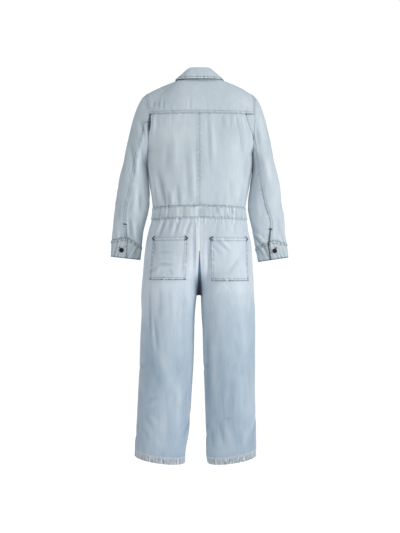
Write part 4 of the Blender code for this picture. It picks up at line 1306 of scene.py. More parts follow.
@dataclass(frozen=True)
class SewingThread:
    """Spun sewing thread, its colour uneven along the rows."""

    name: str
    colour: Colour
    other: Colour

    def build(self) -> bpy.types.Material:
        """Makes the material.

        Returns:
            The thread.
        """
        net = Net(self.name)
        uneven = net.noise(net.place(), 240.0, 1.0)
        colour = net.ramp(uneven, (0.35, self.colour), (0.65, self.other))
        return net.finish({"Base Color": colour, "Roughness": 0.75, "Specular IOR Level": 0.25})


@dataclass(frozen=True)
class AgedMetal:
    """Dark antiqued copper of the buttons, rubbed brighter in scattered spots."""

    name: str = "aged_button_metal"
    dark: Colour = (0.012, 0.010, 0.012)
    rubbed: Colour = (0.080, 0.055, 0.048)

    def build(self) -> bpy.types.Material:
        """Makes the material.

        Returns:
            The metal.
        """
        net = Net(self.name)
        spots = net.noise(net.place(), 420.0, 4.0)
        return net.finish({
            "Base Color": net.ramp(spots, (0.45, self.dark), (0.75, self.rubbed)),
            "Normal": net.bump(0.4, 0.0001, spots), "Metallic": 0.85, "Roughness": 0.42,
        })


@dataclass(frozen=True)
class PaleGround:
    """The plain floor, evenly bright as in a white room."""

    name: str = "pale_ground"
    colour: Colour = (0.93, 0.93, 0.93)
    glow: float = 0.88

    def build(self) -> bpy.types.Material:
        """Makes the material.

        Returns:
            The floor's finish.
        """
        return Net(self.name).finish({
            "Base Color": (*self.colour, 1.0), "Roughness": 1.0, "Specular IOR Level": 0.0,
            "Emission Color": (*self.colour, 1.0), "Emission Strength": self.glow,
        })


@dataclass
class Wardrobe:
    """The finishes, each made once."""

    top: bpy.types.Material = field(init=False)
    trousers: bpy.types.Material = field(init=False)
    thread: bpy.types.Material = field(init=False)
    tack: bpy.types.Material = field(init=False)
    metal: bpy.types.Material = field(init=False)

    def __post_init__(self) -> None:
        """Makes the materials."""
        self.top = Denim("washed_denim", (0.76, 0.82, 0.86), (0.225, 0.30, 0.36)).build()
        self.trousers = Denim("washed_denim_legs", (0.76, 0.82, 0.865), (0.16, 0.255, 0.355)).build()
        # the thread's dark colour also paints the shade of the needle holes and puckers along the rows
        self.thread = SewingThread("denim_thread_and_row_shade", (0.13, 0.18, 0.23), (0.34, 0.41, 0.46)).build()
        self.tack = SewingThread("tack_thread", (0.045, 0.055, 0.075), (0.12, 0.14, 0.17)).build()
        self.metal = AgedMetal().build()


# ---------------------------------------------------------------- cloth
class Rim(Enum):
    """The four edges of a panel's grid: the axis that runs away from it, and its end."""

    START = (0, False)
    END = (0, True)
    LOW = (1, False)
    HIGH = (1, True)


class Edge(Enum):
    """What a panel does at an edge."""

    OVER = "folded under, and lies on its neighbour"
    UNDER = "runs on under its neighbour"
    FREE = "folded, with no neighbour"


OVER_RISE = 0.0009
OVER_REACH = 0.0100
UNDER_SINK = 0.0012
UNDER_REACH = 0.0050
UNDER_RUN = 0.0060         # how far a panel runs on under its neighbour
UNDER_DROP = 0.0016
FOLD_ROUND = 0.0004
EDGE_STOPS = (0.0010, 0.0030)  # extra grid lines beside a folded edge
PUCKER_PITCH = 0.0135
PUCKER_REACH = 0.0100
PUCKER_SLANT = 0.55        # the puckers run askew to the seam
ROW_HALF = 0.0016          # half width of the furrow that a row of stitches draws in
ROW_DEPTH = 0.0005
ROW_TUG = 0.9              # share by which a row's furrow is uneven
TUG_PITCH = 0.0100
PUCKER_TONE = 430.0        # how much lighter the puckers' ridges are rubbed and how much darker their hollows are painted as shade, for each metre of their depth


def ripple(s: np.ndarray, seed: float, pitch: float = PUCKER_PITCH) -> np.ndarray:
    """Uneven waves along a seam, between -1 and 1.

    Args:
        s: length along the seam.
        seed: makes one seam unlike the next.
        pitch: usual length of a wave.

    Returns:
        The waves.
    """
    turn = math.tau * s / pitch
    slow = np.sin(turn + 2.2 * np.sin(turn / 3.7 + seed))
    quick = np.sin(turn * 1.63 + 1.7 * np.sin(turn / 2.3 + 2.0 * seed))
    swell = 0.65 + 0.35 * np.sin(turn / 6.1 + 3.0 * seed)
    return (0.62 * slow + 0.38 * quick) * swell


def lengths(points: np.ndarray, axis: int) -> np.ndarray:
    """Running length of a grid's lines along one of its axes, from 0.

    Args:
        points: the grid.
        axis: that its lines run along.

    Returns:
        The lengths.
    """
    steps = np.linalg.norm(np.diff(points, axis=axis), axis=-1)
    run = np.cumsum(steps, axis=axis)
    return np.insert(run, 0, 0.0, axis=axis)


def unit(vectors: np.ndarray) -> np.ndarray:
    """The vectors at length 1."""
    size = np.linalg.norm(vectors, axis=-1, keepdims=True)
    return vectors / np.maximum(size, 1e-12)


def deselect() -> None:
    """Deselects everything."""
    bpy.ops.object.select_all(action="DESELECT")


def finish_piece(piece: bpy.types.Object, material: bpy.types.Material) -> None:
    """Gives a finished piece its material, slot and body.

    Args:
        piece: the piece.
        material: its finish.
    """
    piece.data.materials.clear()
    piece.data.materials.append(material)
    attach(piece, BODY)


@dataclass
class Panel:
    """One cut piece of cloth.

    Attributes:
        name: the piece's name.
        surface: middle of the cloth at (u, v), over the ranges of us and vs.
        us: the grid's stops across the piece.
        vs: the grid's stops along it.
        middle: a line inside the form, as a function of the points, that outside leads away from.
        creases: the creases of its part of the garment.
        edges: what the piece does at each edge.
        puckers: depth of the puckers along an edge.
        rows: distances of the rows of stitches from an edge.
        tones: how much lighter the cloth is right at an edge, where a folded edge is rubbed pale, or, below
            0, how much darker, where a shadow line is painted along the edge.
        row_tone: how much darker the furrow of a row of stitches is, painted as its shade; below 0, how much
            lighter.
        tone_reach: how far in from a folded edge its tone reaches.
        rubbed: how far from an edge the blue is rubbed away.
        rub_share: how much of it is rubbed away there.
        gather: depth of the puckers all over the piece.
        fade_and_shade: further fading, and painted shade, from the points.
        thickness: of the cloth.
        stand_off: from the middle of the solid's wall to the cloth's outer face.
        reshape: last change of the points, shared by pieces that meet.
        under_run: how far the piece runs on under its neighbours.
    """

    name: str
    surface: Callable[[float, float], Vector]
    us: Sequence[float]
    vs: Sequence[float]
    middle: Callable[[np.ndarray], np.ndarray]
    creases: Creases
    edges: dict[Rim, Edge] = field(default_factory=dict)
    puckers: dict[Rim, float] = field(default_factory=dict)
    rows: dict[Rim, tuple[float, ...]] = field(default_factory=dict)
    tones: dict[Rim, float] = field(default_factory=dict)
    row_tone: float = 0.26
    tone_reach: float = 0.0020
    rubbed: dict[Rim, float] = field(default_factory=dict)
    rub_share: float = 1.0
    gather: float = 0.0
    fade_and_shade: Callable[[np.ndarray], np.ndarray] | None = None
    pucker_reach: float = PUCKER_REACH
    pucker_pitch: float = PUCKER_PITCH
    pucker_slant: float = PUCKER_SLANT
    pucker_power: float = 2.0
    thickness: float = CLOTH
    stand_off: float = WALL / 2.0
    reshape: Callable[[np.ndarray], np.ndarray] | None = None
    under_run: float = UNDER_RUN
    seed: float = 0.0
    points: np.ndarray = field(init=False)
    normals: np.ndarray = field(init=False)
    worn_and_shaded: np.ndarray = field(init=False)
    greys: np.ndarray = field(init=False)
    piece: bpy.types.Object = field(init=False)

    def _stops(self, values: Sequence[float], low: Rim, high: Rim, length: float) -> list[float]:
        """Adds grid lines close beside folded edges and rows of stitches.

        Args:
            values: the even stops.
            low: rim at the first stop.
            high: rim at the last one.
            length: of the piece between them.

        Returns:
            All the stops in order.
        """
        stops = list(values)
        share = (stops[-1] - stops[0]) / length
        extra = []
        for rim, origin, way in ((low, stops[0], share), (high, stops[-1], -share)):
            insets = [row + step for row in self.rows.get(rim, ()) for step in (-ROW_HALF, 0.0, ROW_HALF)]
            if self.edges.get(rim) in (Edge.OVER, Edge.FREE):
                insets += EDGE_STOPS
            extra += [origin + inset * way for inset in insets if inset > 0.0004]
        return sorted(stops + extra, reverse=stops[0] > stops[-1])

    def _lay(self, us: Sequence[float], vs: Sequence[float]) -> np.ndarray:
        """Points of the surface at all the stops."""
        return np.array([[tuple(self.surface(u, v)) for v in vs] for u in us])

    def _normals(self, points: np.ndarray) -> np.ndarray:
        """Outward directions of a grid.

        Args:
            points: the grid.

        Returns:
            The directions, at length 1.
        """
        across = np.gradient(points, axis=0)
        along = np.gradient(points, axis=1)
        normals = unit(np.cross(across, along))
        away = np.sum(normals * (points - self.middle(points)))
        return normals if away > 0.0 else -normals

    def _from_rim(self, rim: Rim, points: np.ndarray) -> tuple[np.ndarray, np.ndarray]:
        """Distance of each point from a rim, and length along the rim.

        Args:
            rim: the edge.
            points: the grid.

        Returns:
            The distances and the lengths.
        """
        axis, last = rim.value
        away = lengths(points, axis)
        if last:
            away = np.take(away, [-1], axis=axis) - away
        return away, lengths(points, 1 - axis)

    def shape(self) -> "Panel":
        """Lays the grid, raises the creases, puckers and folded edges, and makes the piece."""
        coarse = self._lay(self.us[:: max(1, len(self.us) // 8)], self.vs[:: max(1, len(self.vs) // 8)])
        wide = float(lengths(coarse, 0)[-1].mean())
        long = float(lengths(coarse, 1)[:, -1].mean())
        us = self._stops(self.us, Rim.START, Rim.END, wide)
        vs = self._stops(self.vs, Rim.LOW, Rim.HIGH, long)
        points = self._lay(us, vs)
        if self.reshape:
            points = self.reshape(points)
        normals = self._normals(points)
        relief = self.creases.relief(points, normals)
        lift = relief + self.stand_off
        # ridges rubbed paler, and troughs painted darker as shade
        worn_and_shaded = 0.5 + 0.34 * np.tanh(relief / 0.0034)
        if self.gather:
            wave = ripple(lengths(points, 0) + 0.2 * lengths(points, 1), self.seed, 0.0105)
            lift += self.gather * wave
            # the gathers' ridges rubbed paler, their hollows painted darker as shade
            worn_and_shaded += PUCKER_TONE * self.gather * wave
        self.greys = np.zeros_like(worn_and_shaded)
        for number, rim in enumerate(Rim):
            away, along = self._from_rim(rim, points)
            if rim in self.rubbed:
                near = np.exp(-((away / self.rubbed[rim]) ** 8))
                self.greys = np.maximum(self.greys, self.rub_share * near)
            if rim in self.puckers:
                near = np.exp(-((away / self.pucker_reach) ** self.pucker_power))
                wave = ripple(along + self.pucker_slant * away, self.seed + number, self.pucker_pitch)
                lift += self.puckers[rim] * wave * near
                # the puckers' ridges rubbed paler, their hollows painted darker as shade
                worn_and_shaded += PUCKER_TONE * self.puckers[rim] * wave * near
            for inset in self.rows.get(rim, ()):
                furrow = np.exp(-(((away - inset) / ROW_HALF) ** 2))
                tug = 1.0 + ROW_TUG * ripple(along, self.seed + number + inset * 900.0, TUG_PITCH)
                lift -= ROW_DEPTH * furrow * tug
                # the furrow painted darker as its shade
                worn_and_shaded -= self.row_tone * furrow * tug
            style = self.edges.get(rim)
            if style is Edge.OVER:
                lift += OVER_RISE * np.exp(-((away / OVER_REACH) ** 2))
            if style in (Edge.OVER, Edge.FREE):
                lift -= FOLD_ROUND * np.exp(-((away / EDGE_STOPS[0]) ** 2))
                # folded edges rubbed paler by default; a tone below 0 paints a shadow line along the edge
                worn_and_shaded += self.tones.get(rim, 0.22) * np.exp(-((away / self.tone_reach) ** 2))
            if style is Edge.UNDER:
                lift -= UNDER_SINK * np.exp(-((away / UNDER_REACH) ** 2))
                # painted shadow where the cloth runs on under its neighbour's edge
                worn_and_shaded += self.tones.get(rim, -0.34) * np.exp(-((away / 0.0029) ** 2))
        self.points = points + normals * lift[..., None]
        self.normals = self._normals(self.points)
        if self.fade_and_shade:
            # further fading, and painted shade in the pleats, the vents and the fork
            worn_and_shaded += self.fade_and_shade(points)
        self.worn_and_shaded = np.clip(worn_and_shaded, -0.9, 1.2)
        self._make()
        return self

    def _run_under(self, points: np.ndarray, rim: Rim) -> np.ndarray:
        """Adds the row that runs on under a neighbour.

        Args:
            points: the grid.
            rim: the edge.

        Returns:
            The grid with its new row.
        """
        axis, last = rim.value
        normals = self._normals(points)
        size = points.shape[axis]
        edge = size - 1 if last else 0
        inner = size - 2 if last else 1
        at = np.take(points, edge, axis=axis)
        way = unit(at - np.take(points, inner, axis=axis))
        row = at + way * self.under_run - np.take(normals, edge, axis=axis) * UNDER_DROP
        return np.insert(points, size if last else 0, row, axis=axis)

    def _make(self) -> None:
        """Makes the mesh, its UV map in metres, its marks of rubbing and painted shade, and its thickness."""
        points, marks = self.points, {"wear_and_shade": self.worn_and_shaded, "rubbed": self.greys}
        for rim, style in self.edges.items():
            if style is Edge.UNDER:
                points = self._run_under(points, rim)
                axis, last = rim.value
                for name, values in marks.items():
                    size = values.shape[axis]
                    row = np.take(values, size - 1 if last else 0, axis=axis)
                    marks[name] = np.insert(values, size if last else 0, row, axis=axis)
        columns, rows = points.shape[:2]
        deselect()
        bpy.ops.mesh.primitive_grid_add(
            x_subdivisions=columns - 1, y_subdivisions=rows - 1, size=2.0, calc_uvs=True
        )
        piece = bpy.context.object
        piece.name = self.name
        mesh = piece.data
        mesh.name = self.name
        places = np.zeros(columns * rows * 3)
        mesh.vertices.foreach_get("co", places)
        places = places.reshape(-1, 3)
        column = np.rint((places[:, 0] + 1.0) / 2.0 * (columns - 1)).astype(int)
        row = np.rint((places[:, 1] + 1.0) / 2.0 * (rows - 1)).astype(int)
        mesh.vertices.foreach_set("co", points[column, row].ravel())
        for name, values in marks.items():
            layer = mesh.attributes.new(name, "FLOAT", "POINT")
            layer.data.foreach_set("value", values[column, row])
        corner = np.zeros(len(mesh.loops), dtype=np.int32)
        mesh.loops.foreach_get("vertex_index", corner)
        across, along = lengths(points, 0), lengths(points, 1)
        flat = np.stack([across[column, row], along[column, row]], axis=1)
        mesh.uv_layers.active.name = "cloth"
        mesh.uv_layers["cloth"].data.foreach_set("uv", flat[corner].ravel())
        facing = np.cross(np.gradient(points, axis=0), np.gradient(points, axis=1))
        if np.sum(facing * self._normals(points)) < 0.0:
            mesh.flip_normals()
        mesh.update()
        mesh.shade_smooth()
        wall = piece.modifiers.new("Cloth", "SOLIDIFY")
        wall.thickness = self.thickness
        wall.offset = -1.0
        wall.use_even_offset = False
        bpy.ops.object.modifier_apply(modifier=wall.name)
        self.piece = piece

    def declare(self, material: bpy.types.Material, slot: str, held: str, rests_on: Sequence[str]) -> None:
        """Args:
            material: its finish.
            slot: not used.
            held: not used.
            rests_on: not used.
        """
        finish_piece(self.piece, material)

    def line(self, rim: Rim, inset: float, start: float = 0.0, end: float = 1.0) -> "Line":
        """A line on the finished cloth beside one of its edges.

        Args:
            rim: the edge.
            inset: distance from it.
            start: share of the edge where the line starts.
            end: share where it ends.

        Returns:
            The line.
        """
        axis, last = rim.value
        points, normals = self.points, self.normals
        if axis == 0:
            points, normals = points.swapaxes(0, 1), normals.swapaxes(0, 1)
        if last:
            points, normals = points[:, ::-1], normals[:, ::-1]
        run = lengths(points, 1)
        places, ups = [], []
        for i in range(len(points)):
            places.append([np.interp(inset, run[i], points[i, :, k]) for k in range(3)])
            ups.append([np.interp(inset, run[i], normals[i, :, k]) for k in range(3)])
        return Line(np.array(places), unit(np.array(ups))).part(start, end)

    def nearest(self, place: Vector) -> tuple[Vector, Vector, Vector]:
        """Finds the cloth's point nearest a place.

        Args:
            place: the place.

        Returns:
            The point, the outward direction there, and the direction along v.
        """
        gaps = np.linalg.norm(self.points - np.array(place), axis=-1)
        i, j = np.unravel_index(np.argmin(gaps), gaps.shape)
        j = min(int(j), self.points.shape[1] - 2)
        along = unit(self.points[i, j + 1] - self.points[i, j])
        return Vector(self.points[i, j]), Vector(self.normals[i, j]), Vector(along)


@dataclass
class Line:
    """A line on cloth: its points and the outward directions there."""

    points: np.ndarray
    normals: np.ndarray

    def part(self, start: float, end: float) -> "Line":
        """The stretch between two shares of the line's length.

        Args:
            start: share where it starts.
            end: share where it ends.

        Returns:
            That stretch.
        """
        run = lengths(self.points[:, None, :], 0)[:, 0]
        keep = np.linspace(start * run[-1], end * run[-1], len(run))
        points = np.stack([np.interp(keep, run, self.points[:, k]) for k in range(3)], axis=1)
        normals = np.stack([np.interp(keep, run, self.normals[:, k]) for k in range(3)], axis=1)
        return Line(points, unit(normals))

    def stops(self, pitch: float) -> tuple[np.ndarray, np.ndarray, np.ndarray]:
        """Even stops along the line.

        Args:
            pitch: distance between two stops.

        Returns:
            Places, directions along, and outward directions.
        """
        run = lengths(self.points[:, None, :], 0)[:, 0]
        count = max(2, int(run[-1] / pitch))
        at = (np.arange(count) + 0.5) * run[-1] / count
        step = pitch / 4.0
        places, ahead, behind, normals = (
            np.stack([np.interp(where, run, values[:, k]) for k in range(3)], axis=1)
            for where, values in (
                (at, self.points), (at + step, self.points), (at - step, self.points), (at, self.normals),
            )
        )
        return places, unit(ahead - behind), unit(normals)


@dataclass
class Sewing:
    """The stitches of one sub-assembly, made as one mesh.

    Attributes:
        name: the piece's name.
        length: of one stitch.
        pitch: between two stitches.
        thickness: of the thread.
    """

    name: str
    length: float = 0.0031
    pitch: float = 0.0040
    thickness: float = 0.00085
    sets: list[tuple[np.ndarray, np.ndarray, np.ndarray, float, float]] = field(default_factory=list)

    def row(self, line: Line) -> None:
        """Sews a row of stitches along a line."""
        places, along, normals = line.stops(self.pitch)
        self.sets.append((places, along, normals, self.length, self.thickness))

    def follow(self, panel: Panel, parts: dict[Rim, tuple[float, float]] | None = None) -> None:
        """Sews all the rows that a panel was laid for.

        Args:
            panel: the piece of cloth.
            parts: the shares of an edge where its rows start and end, if not the whole edge.
        """
        for rim, insets in panel.rows.items():
            start, end = (parts or {}).get(rim, (0.0, 1.0))
            for inset in insets:
                self.row(panel.line(rim, inset, start, end))

    def tack(self, place: Vector, along: Vector, normal: Vector, length: float, width: float) -> None:
        """Sews a bar of close stitches across its own direction.

        Args:
            place: its middle.
            along: its direction.
            normal: outward direction.
            length: of the bar.
            width: of the bar.
        """
        along = (along - normal * along.dot(normal)).normalized()
        across = normal.cross(along)
        count = max(3, int(length / 0.0006))
        at = (np.arange(count) + 0.5) / count - 0.5
        places = np.array(place) + np.outer(at * length, np.array(along))
        ways = np.tile(np.array(across), (count, 1))
        ups = np.tile(np.array(normal), (count, 1))
        self.sets.append((places + 0.0005 * ups, ways, ups, width, 0.0013))

    def build(self, material: bpy.types.Material, slot: str) -> None:
        """Makes the stitches' mesh.

        Args:
            material: the thread.
            slot: not used.
        """
        deselect()
        bpy.ops.mesh.primitive_uv_sphere_add(
            segments=5, ring_count=3, radius=0.5, rotation=(0.0, math.pi / 2, 0.0)
        )
        bpy.ops.object.transform_apply(location=True, rotation=True, scale=True)
        piece = bpy.context.object
        piece.name = self.name
        piece.data.name = self.name
        base = np.array([tuple(vertex.co) for vertex in piece.data.vertices])
        faces = [tuple(polygon.vertices) for polygon in piece.data.polygons]
        vertices, polygons = [], []
        for places, along, normals, length, thickness in self.sets:
            across = unit(np.cross(normals, along))
            for place, way, side, up in zip(places, along, across, normals):
                start = len(vertices) * len(base)
                body = base[:, :1] * length * way + base[:, 1:2] * thickness * side
                vertices.append(place + body + (base[:, 2:] * thickness + thickness * 0.18) * up)
                polygons.extend(tuple(index + start for index in face) for face in faces)
        mesh = bpy.data.meshes.new(self.name)
        mesh.from_pydata(np.concatenate(vertices).tolist(), [], polygons)
        mesh.update()
        mesh.shade_smooth()
        old = piece.data
        piece.data = mesh
        bpy.data.meshes.remove(old)
        mesh.name = self.name
        finish_piece(piece, material)
        LOG.info("%s: %d stitches", self.name, len(vertices))


def even(start: float, end: float, count: int) -> list[float]:
    """Evenly spaced stops, with both ends."""
    return [mix(start, end, i / count) for i in range(count + 1)]


def round_side(start: float, end: float, count: int) -> list[float]:
    """Stops that close up towards the end, where a half section turns into the side seam."""
    return [mix(start, end, 0.55 * f + 0.45 * (1.0 - (1.0 - f) ** 2)) for f in even(0.0, 1.0, count)]


def body_axis(points: np.ndarray) -> np.ndarray:
    """The garment's middle line, level with each point.

    Args:
        points: places on the cloth.

    Returns:
        The line's points.
    """
    axis = np.zeros_like(points)
    axis[..., 2] = points[..., 2]
    return axis


def waist_arch(points: np.ndarray) -> np.ndarray:
    """Lets the waist sag a little towards the sides, as the photographed waistband does.

    Args:
        points: places on the cloth.

    Returns:
        The same points, moved.
    """
    sag = WAIST_RISE - WAIST_SAG * (points[..., 0] / WAIST_HALF) ** 2
    near = np.exp(-(((points[..., 2] - WAIST_Z) / WAIST_REACH) ** 2))
    shifted = points.copy()
    shifted[..., 2] += sag * near
    return shifted


# ---------------------------------------------------------------- the top
@dataclass
class Bodice:
    """Yoke, collar, back and front panels, and pleats.

    Attributes:
        form: the filled-out form.
        finishes: the materials.
        creases: the bodice's creases.
    """

    form: Form
    finishes: Wardrobe
    creases: Creases
    slot: str = "denim_top"
    pair: tuple[float, float] = (0.0020, 0.0088)

    def build(self) -> None:
        """Makes the bodice's pieces and sews them."""
        sewing = Sewing("bodice_stitching")
        tacks = Sewing("bodice_tacks")
        self._yoke(sewing)
        self._collar(sewing)
        for side in Side:
            self._back(side, sewing, tacks)
            self._pleat(side)
            self._front(side, sewing)
        sewing.build(self.finishes.thread, self.slot)
        tacks.build(self.finishes.tack, self.slot)

    def _yoke(self, sewing: Sewing) -> None:
        """The back yoke, lapped over the panels below it and sewn with two rows.

        Args:
            sewing: the rows of stitches, which it adds to.
        """
        panel = Panel(
            "yoke_cloth", self.form.yoke_point, even(-1.0, 1.0, 192), even(0.0, 1.0, 26), body_axis,
            self.creases,
            edges={Rim.START: Edge.OVER, Rim.END: Edge.OVER, Rim.HIGH: Edge.OVER, Rim.LOW: Edge.UNDER},
            puckers={Rim.HIGH: 0.0006, Rim.START: 0.0004, Rim.END: 0.0004},
            rows=dict.fromkeys((Rim.HIGH, Rim.START, Rim.END), self.pair), seed=1.0,
        ).shape()
        sewing.follow(panel)
        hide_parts("back_yoke")
        panel.declare(self.finishes.top, self.slot, "hung", ["back_body_left", "back_body_right"])

    def _collar(self, sewing: Sewing) -> None:
        """The turned-down collar, one piece over its fold.

        Args:
            sewing: the rows of stitches, which it adds to.
        """
        above = np.array((0.0, 0.0, -1.0))
        panel = Panel(
            "collar_cloth", self.form.collar_point, even(-COLLAR_REACH, COLLAR_REACH, 150),
            even(0.0, 1.0, 30), lambda points: points + above, Creases([], 0.0006, 0.0003),
            edges=dict.fromkeys(Rim, Edge.FREE) | {Rim.LOW: Edge.UNDER},
            puckers={Rim.HIGH: 0.0015}, pucker_pitch=0.0100, row_tone=0.42,
            rows=dict.fromkeys((Rim.HIGH, Rim.START, Rim.END), (0.0060,)),
            thickness=0.0016, under_run=0.0140, seed=2.0,
        ).shape()
        sewing.follow(panel, {Rim.HIGH: (0.02, 0.98), Rim.START: (0.5, 0.97), Rim.END: (0.5, 0.97)})
        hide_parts("collar")
        panel.declare(self.finishes.top, self.slot, "folded", ["back_yoke"])

    def _back(self, side: Side, sewing: Sewing, tacks: Sewing) -> None:
        """A back panel, folded at the pleat beside the armhole.

        Args:
            side: wearer's side.
            sewing: the rows of stitches, which it adds to.
            tacks: the bar tacks, which it adds to.
        """
        def surface(u: float, z: float) -> Vector:
            """Point of the panel, up to its fold."""
            return self.form.torso_point(side, Face.BACK, u * self.form.back_fold_s(side, z), z)

        centre = Edge.OVER if side == Side.LEFT else Edge.UNDER
        panel = Panel(
            "back_cloth_" + side.label, surface, round_side(0.0, 1.0, 78), even(BAND_TOP_Z, YOKE_Z, 104),
            body_axis, self.creases,
            edges={Rim.START: centre, Rim.END: Edge.OVER, Rim.HIGH: Edge.UNDER, Rim.LOW: Edge.UNDER},
            puckers={Rim.START: 0.0005, Rim.HIGH: 0.0006, Rim.LOW: 0.0008},
            # painted shade along the centre seam and under the waistband; the pleat's folded edge lighter
            tones={Rim.START: -0.06, Rim.LOW: -0.22, Rim.END: 0.30},
            rows={Rim.START: (0.0022, 0.0090)} if side == Side.LEFT else {}, row_tone=0.10,
            reshape=waist_arch, seed=3.0 + side,
        ).shape()
        sewing.follow(panel)
        place, normal, _ = panel.nearest(Vector(panel.points[-1, -1]))
        tacks.tack(place + normal * 0.0008, Vector((1.0, 0.0, 0.0)), normal, 0.0080, 0.0030)
        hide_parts("back_body_" + side.label)
        panel.declare(self.finishes.top, self.slot, "hung", ["back_yoke"])

    def _pleat(self, side: Side) -> None:
        """The pleat's under layer, from the armhole to behind the fold.

        Args:
            side: wearer's side.
        """
        form, pleat = self.form, PLEATS[side]

        def surface(u: float, z: float) -> Vector:
            """Point of the under layer.

            Args:
                u: share from the armhole to behind the fold.
                z: height.

            Returns:
                The middle of the cloth there.
            """
            fold = form.torso_point(side, Face.BACK, form.back_fold_s(side, z), z)
            edge = form.armhole_at_height(side, Face.BACK, z)
            gap = abs(edge.x) - abs(fold.x)
            x = mix(abs(edge.x), abs(fold.x) - PLEAT_UNDERLAP, u)
            sunk = min(1.0, (abs(edge.x) - x) / max(gap, PLEAT_CLOSING / 2.0))
            closing = max(0.0, 1.0 - gap / PLEAT_CLOSING)
            y = mix(edge.y, fold.y, sunk) - max(pleat.depth * sunk, LAID_ON * closing)
            inside = min(1.0, max(0.0, (abs(fold.x) - x) / PLEAT_UNDERLAP))
            behind = form.torso_point(side, Face.BACK, form.back_fold_s(side, z) * x / abs(fold.x), z)
            return Vector((side * x, mix(y, behind.y - LAID_ON, inside ** 3), z))

        heights = even(pleat.end_z, YOKE_Z, 14)
        folds = [abs(form.torso_point(side, Face.BACK, form.back_fold_s(side, z), z).x) for z in heights]

        def shade(points: np.ndarray) -> np.ndarray:
            """The painted shade beside the fold, where the pleat opens.

            Args:
                points: places on the cloth.

            Returns:
                Painted shade to add to the wear_and_shade mark.
            """
            beside = np.abs(points[..., 0]) - np.interp(points[..., 2], heights, folds)
            return -0.95 * np.exp(-((beside / pleat.shade_reach) ** 2))

        panel = Panel(
            "pleat_cloth_" + side.label, surface, even(0.0, 1.0, 22), even(pleat.end_z, YOKE_Z - 0.0005, 26),
            body_axis, Creases([], 0.0004, 0.0002), seed=5.0 + side, stand_off=0.0005,
            fade_and_shade=shade,
        ).shape()
        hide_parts("back_pleat_" + side.label)
        panel.declare(self.finishes.top, self.slot, "folded", ["back_body_" + side.label])

    def _front(self, side: Side, sewing: Sewing) -> None:
        """A front panel, up to the neckline and the seam in front of the shoulder.

        Args:
            side: wearer's side.
            sewing: the rows of stitches, which it adds to.
        """
        level = 64
        rows = 90

        def surface(s: float, v: float) -> Vector:
            """Point of the panel.

            Args:
                s: 0 on the centre line, 1 at the armhole or side.
                v: share of the rows from the waist.

            Returns:
                The middle of the cloth there.
            """
            if v <= level / rows:
                z = mix(BAND_TOP_Z, NECK_STEP_Z, v * rows / level)
                return self.form.torso_point(side, Face.FRONT, s, z)
            return self.form.front_upper_point(side, s, (v * rows - level) / (rows - level))

        edges = {Rim.END: Edge.OVER, Rim.HIGH: Edge.UNDER, Rim.LOW: Edge.UNDER}
        panel = Panel(
            "front_cloth_" + side.label, surface, sorted(round_side(0.0, 1.0, 58) + [FRONT_NECK_SHARE]),
            even(0.0, 1.0, rows), body_axis,
            self.creases, edges=edges, puckers={Rim.END: 0.0004, Rim.LOW: 0.0008},
            rows={Rim.END: self.pair}, reshape=waist_arch, seed=7.0 + side,
        ).shape()
        sewing.follow(panel, {Rim.END: (0.56, 1.0)})
        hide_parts("front_body_" + side.label)
        panel.declare(self.finishes.top, self.slot, "hung", ["back_yoke"])


@dataclass
class FrontStrip:
    """A closed button strip down the centre front, with its buttons.

    Attributes:
        node: the solid it stands for.
        low_z: its lower end.
        high_z: its upper end.
        rests_on: the nodes that it lies on, without their sides.
        buttons: the nodes of its buttons.
    """

    form: Form
    finishes: Wardrobe
    creases: Creases
    node: str
    low_z: float
    high_z: float
    slot: str
    rests_on: str
    buttons: Sequence[str]
    row_inset: float = 0.0040

    def _under(self, x: float, z: float) -> Vector:
        """Point of the panels that the strip lies on.

        Args:
            x: place from side to side.
            z: height.

        Returns:
            The middle of the cloth there.
        """
        side = Side.LEFT if x >= 0.0 else Side.RIGHT
        point = self.form.trouser_point if z < BAND_BOTTOM_Z else self.form.torso_point
        centre = point(side, Face.FRONT, 0.0, z)
        beside = point(side, Face.FRONT, 0.25, z)
        share = abs(x) / max(abs(beside.x), 0.01)
        return Vector((x, mix(centre.y, beside.y, share ** 2), z))

    def build(self) -> Panel:
        """Makes the strip and its two rows of stitches.

        Returns:
            The strip's panel, which its buttons sit on.
        """
        half = PLACKET_WIDTH / 2.0
        count = int((self.high_z - self.low_z) / 0.0050)
        panel = Panel(
            self.node + "_cloth", self._under, even(-half, half, 12), even(self.low_z, self.high_z, count),
            body_axis, self.creases,
            edges=dict.fromkeys(Rim, Edge.FREE), puckers={Rim.START: 0.0004, Rim.END: 0.0004},
            rows={Rim.START: (self.row_inset,), Rim.END: (self.row_inset,)},
            stand_off=WALL / 2.0 + LAID_ON, reshape=waist_arch, seed=11.0,
        ).shape()
        sewing = Sewing(self.node + "_stitching")
        sewing.follow(panel)
        sewing.build(self.finishes.thread, self.slot)
        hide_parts(self.node)
        panel.declare(self.finishes.top, self.slot, "laid", [self.rests_on + side.label for side in Side])
        return panel


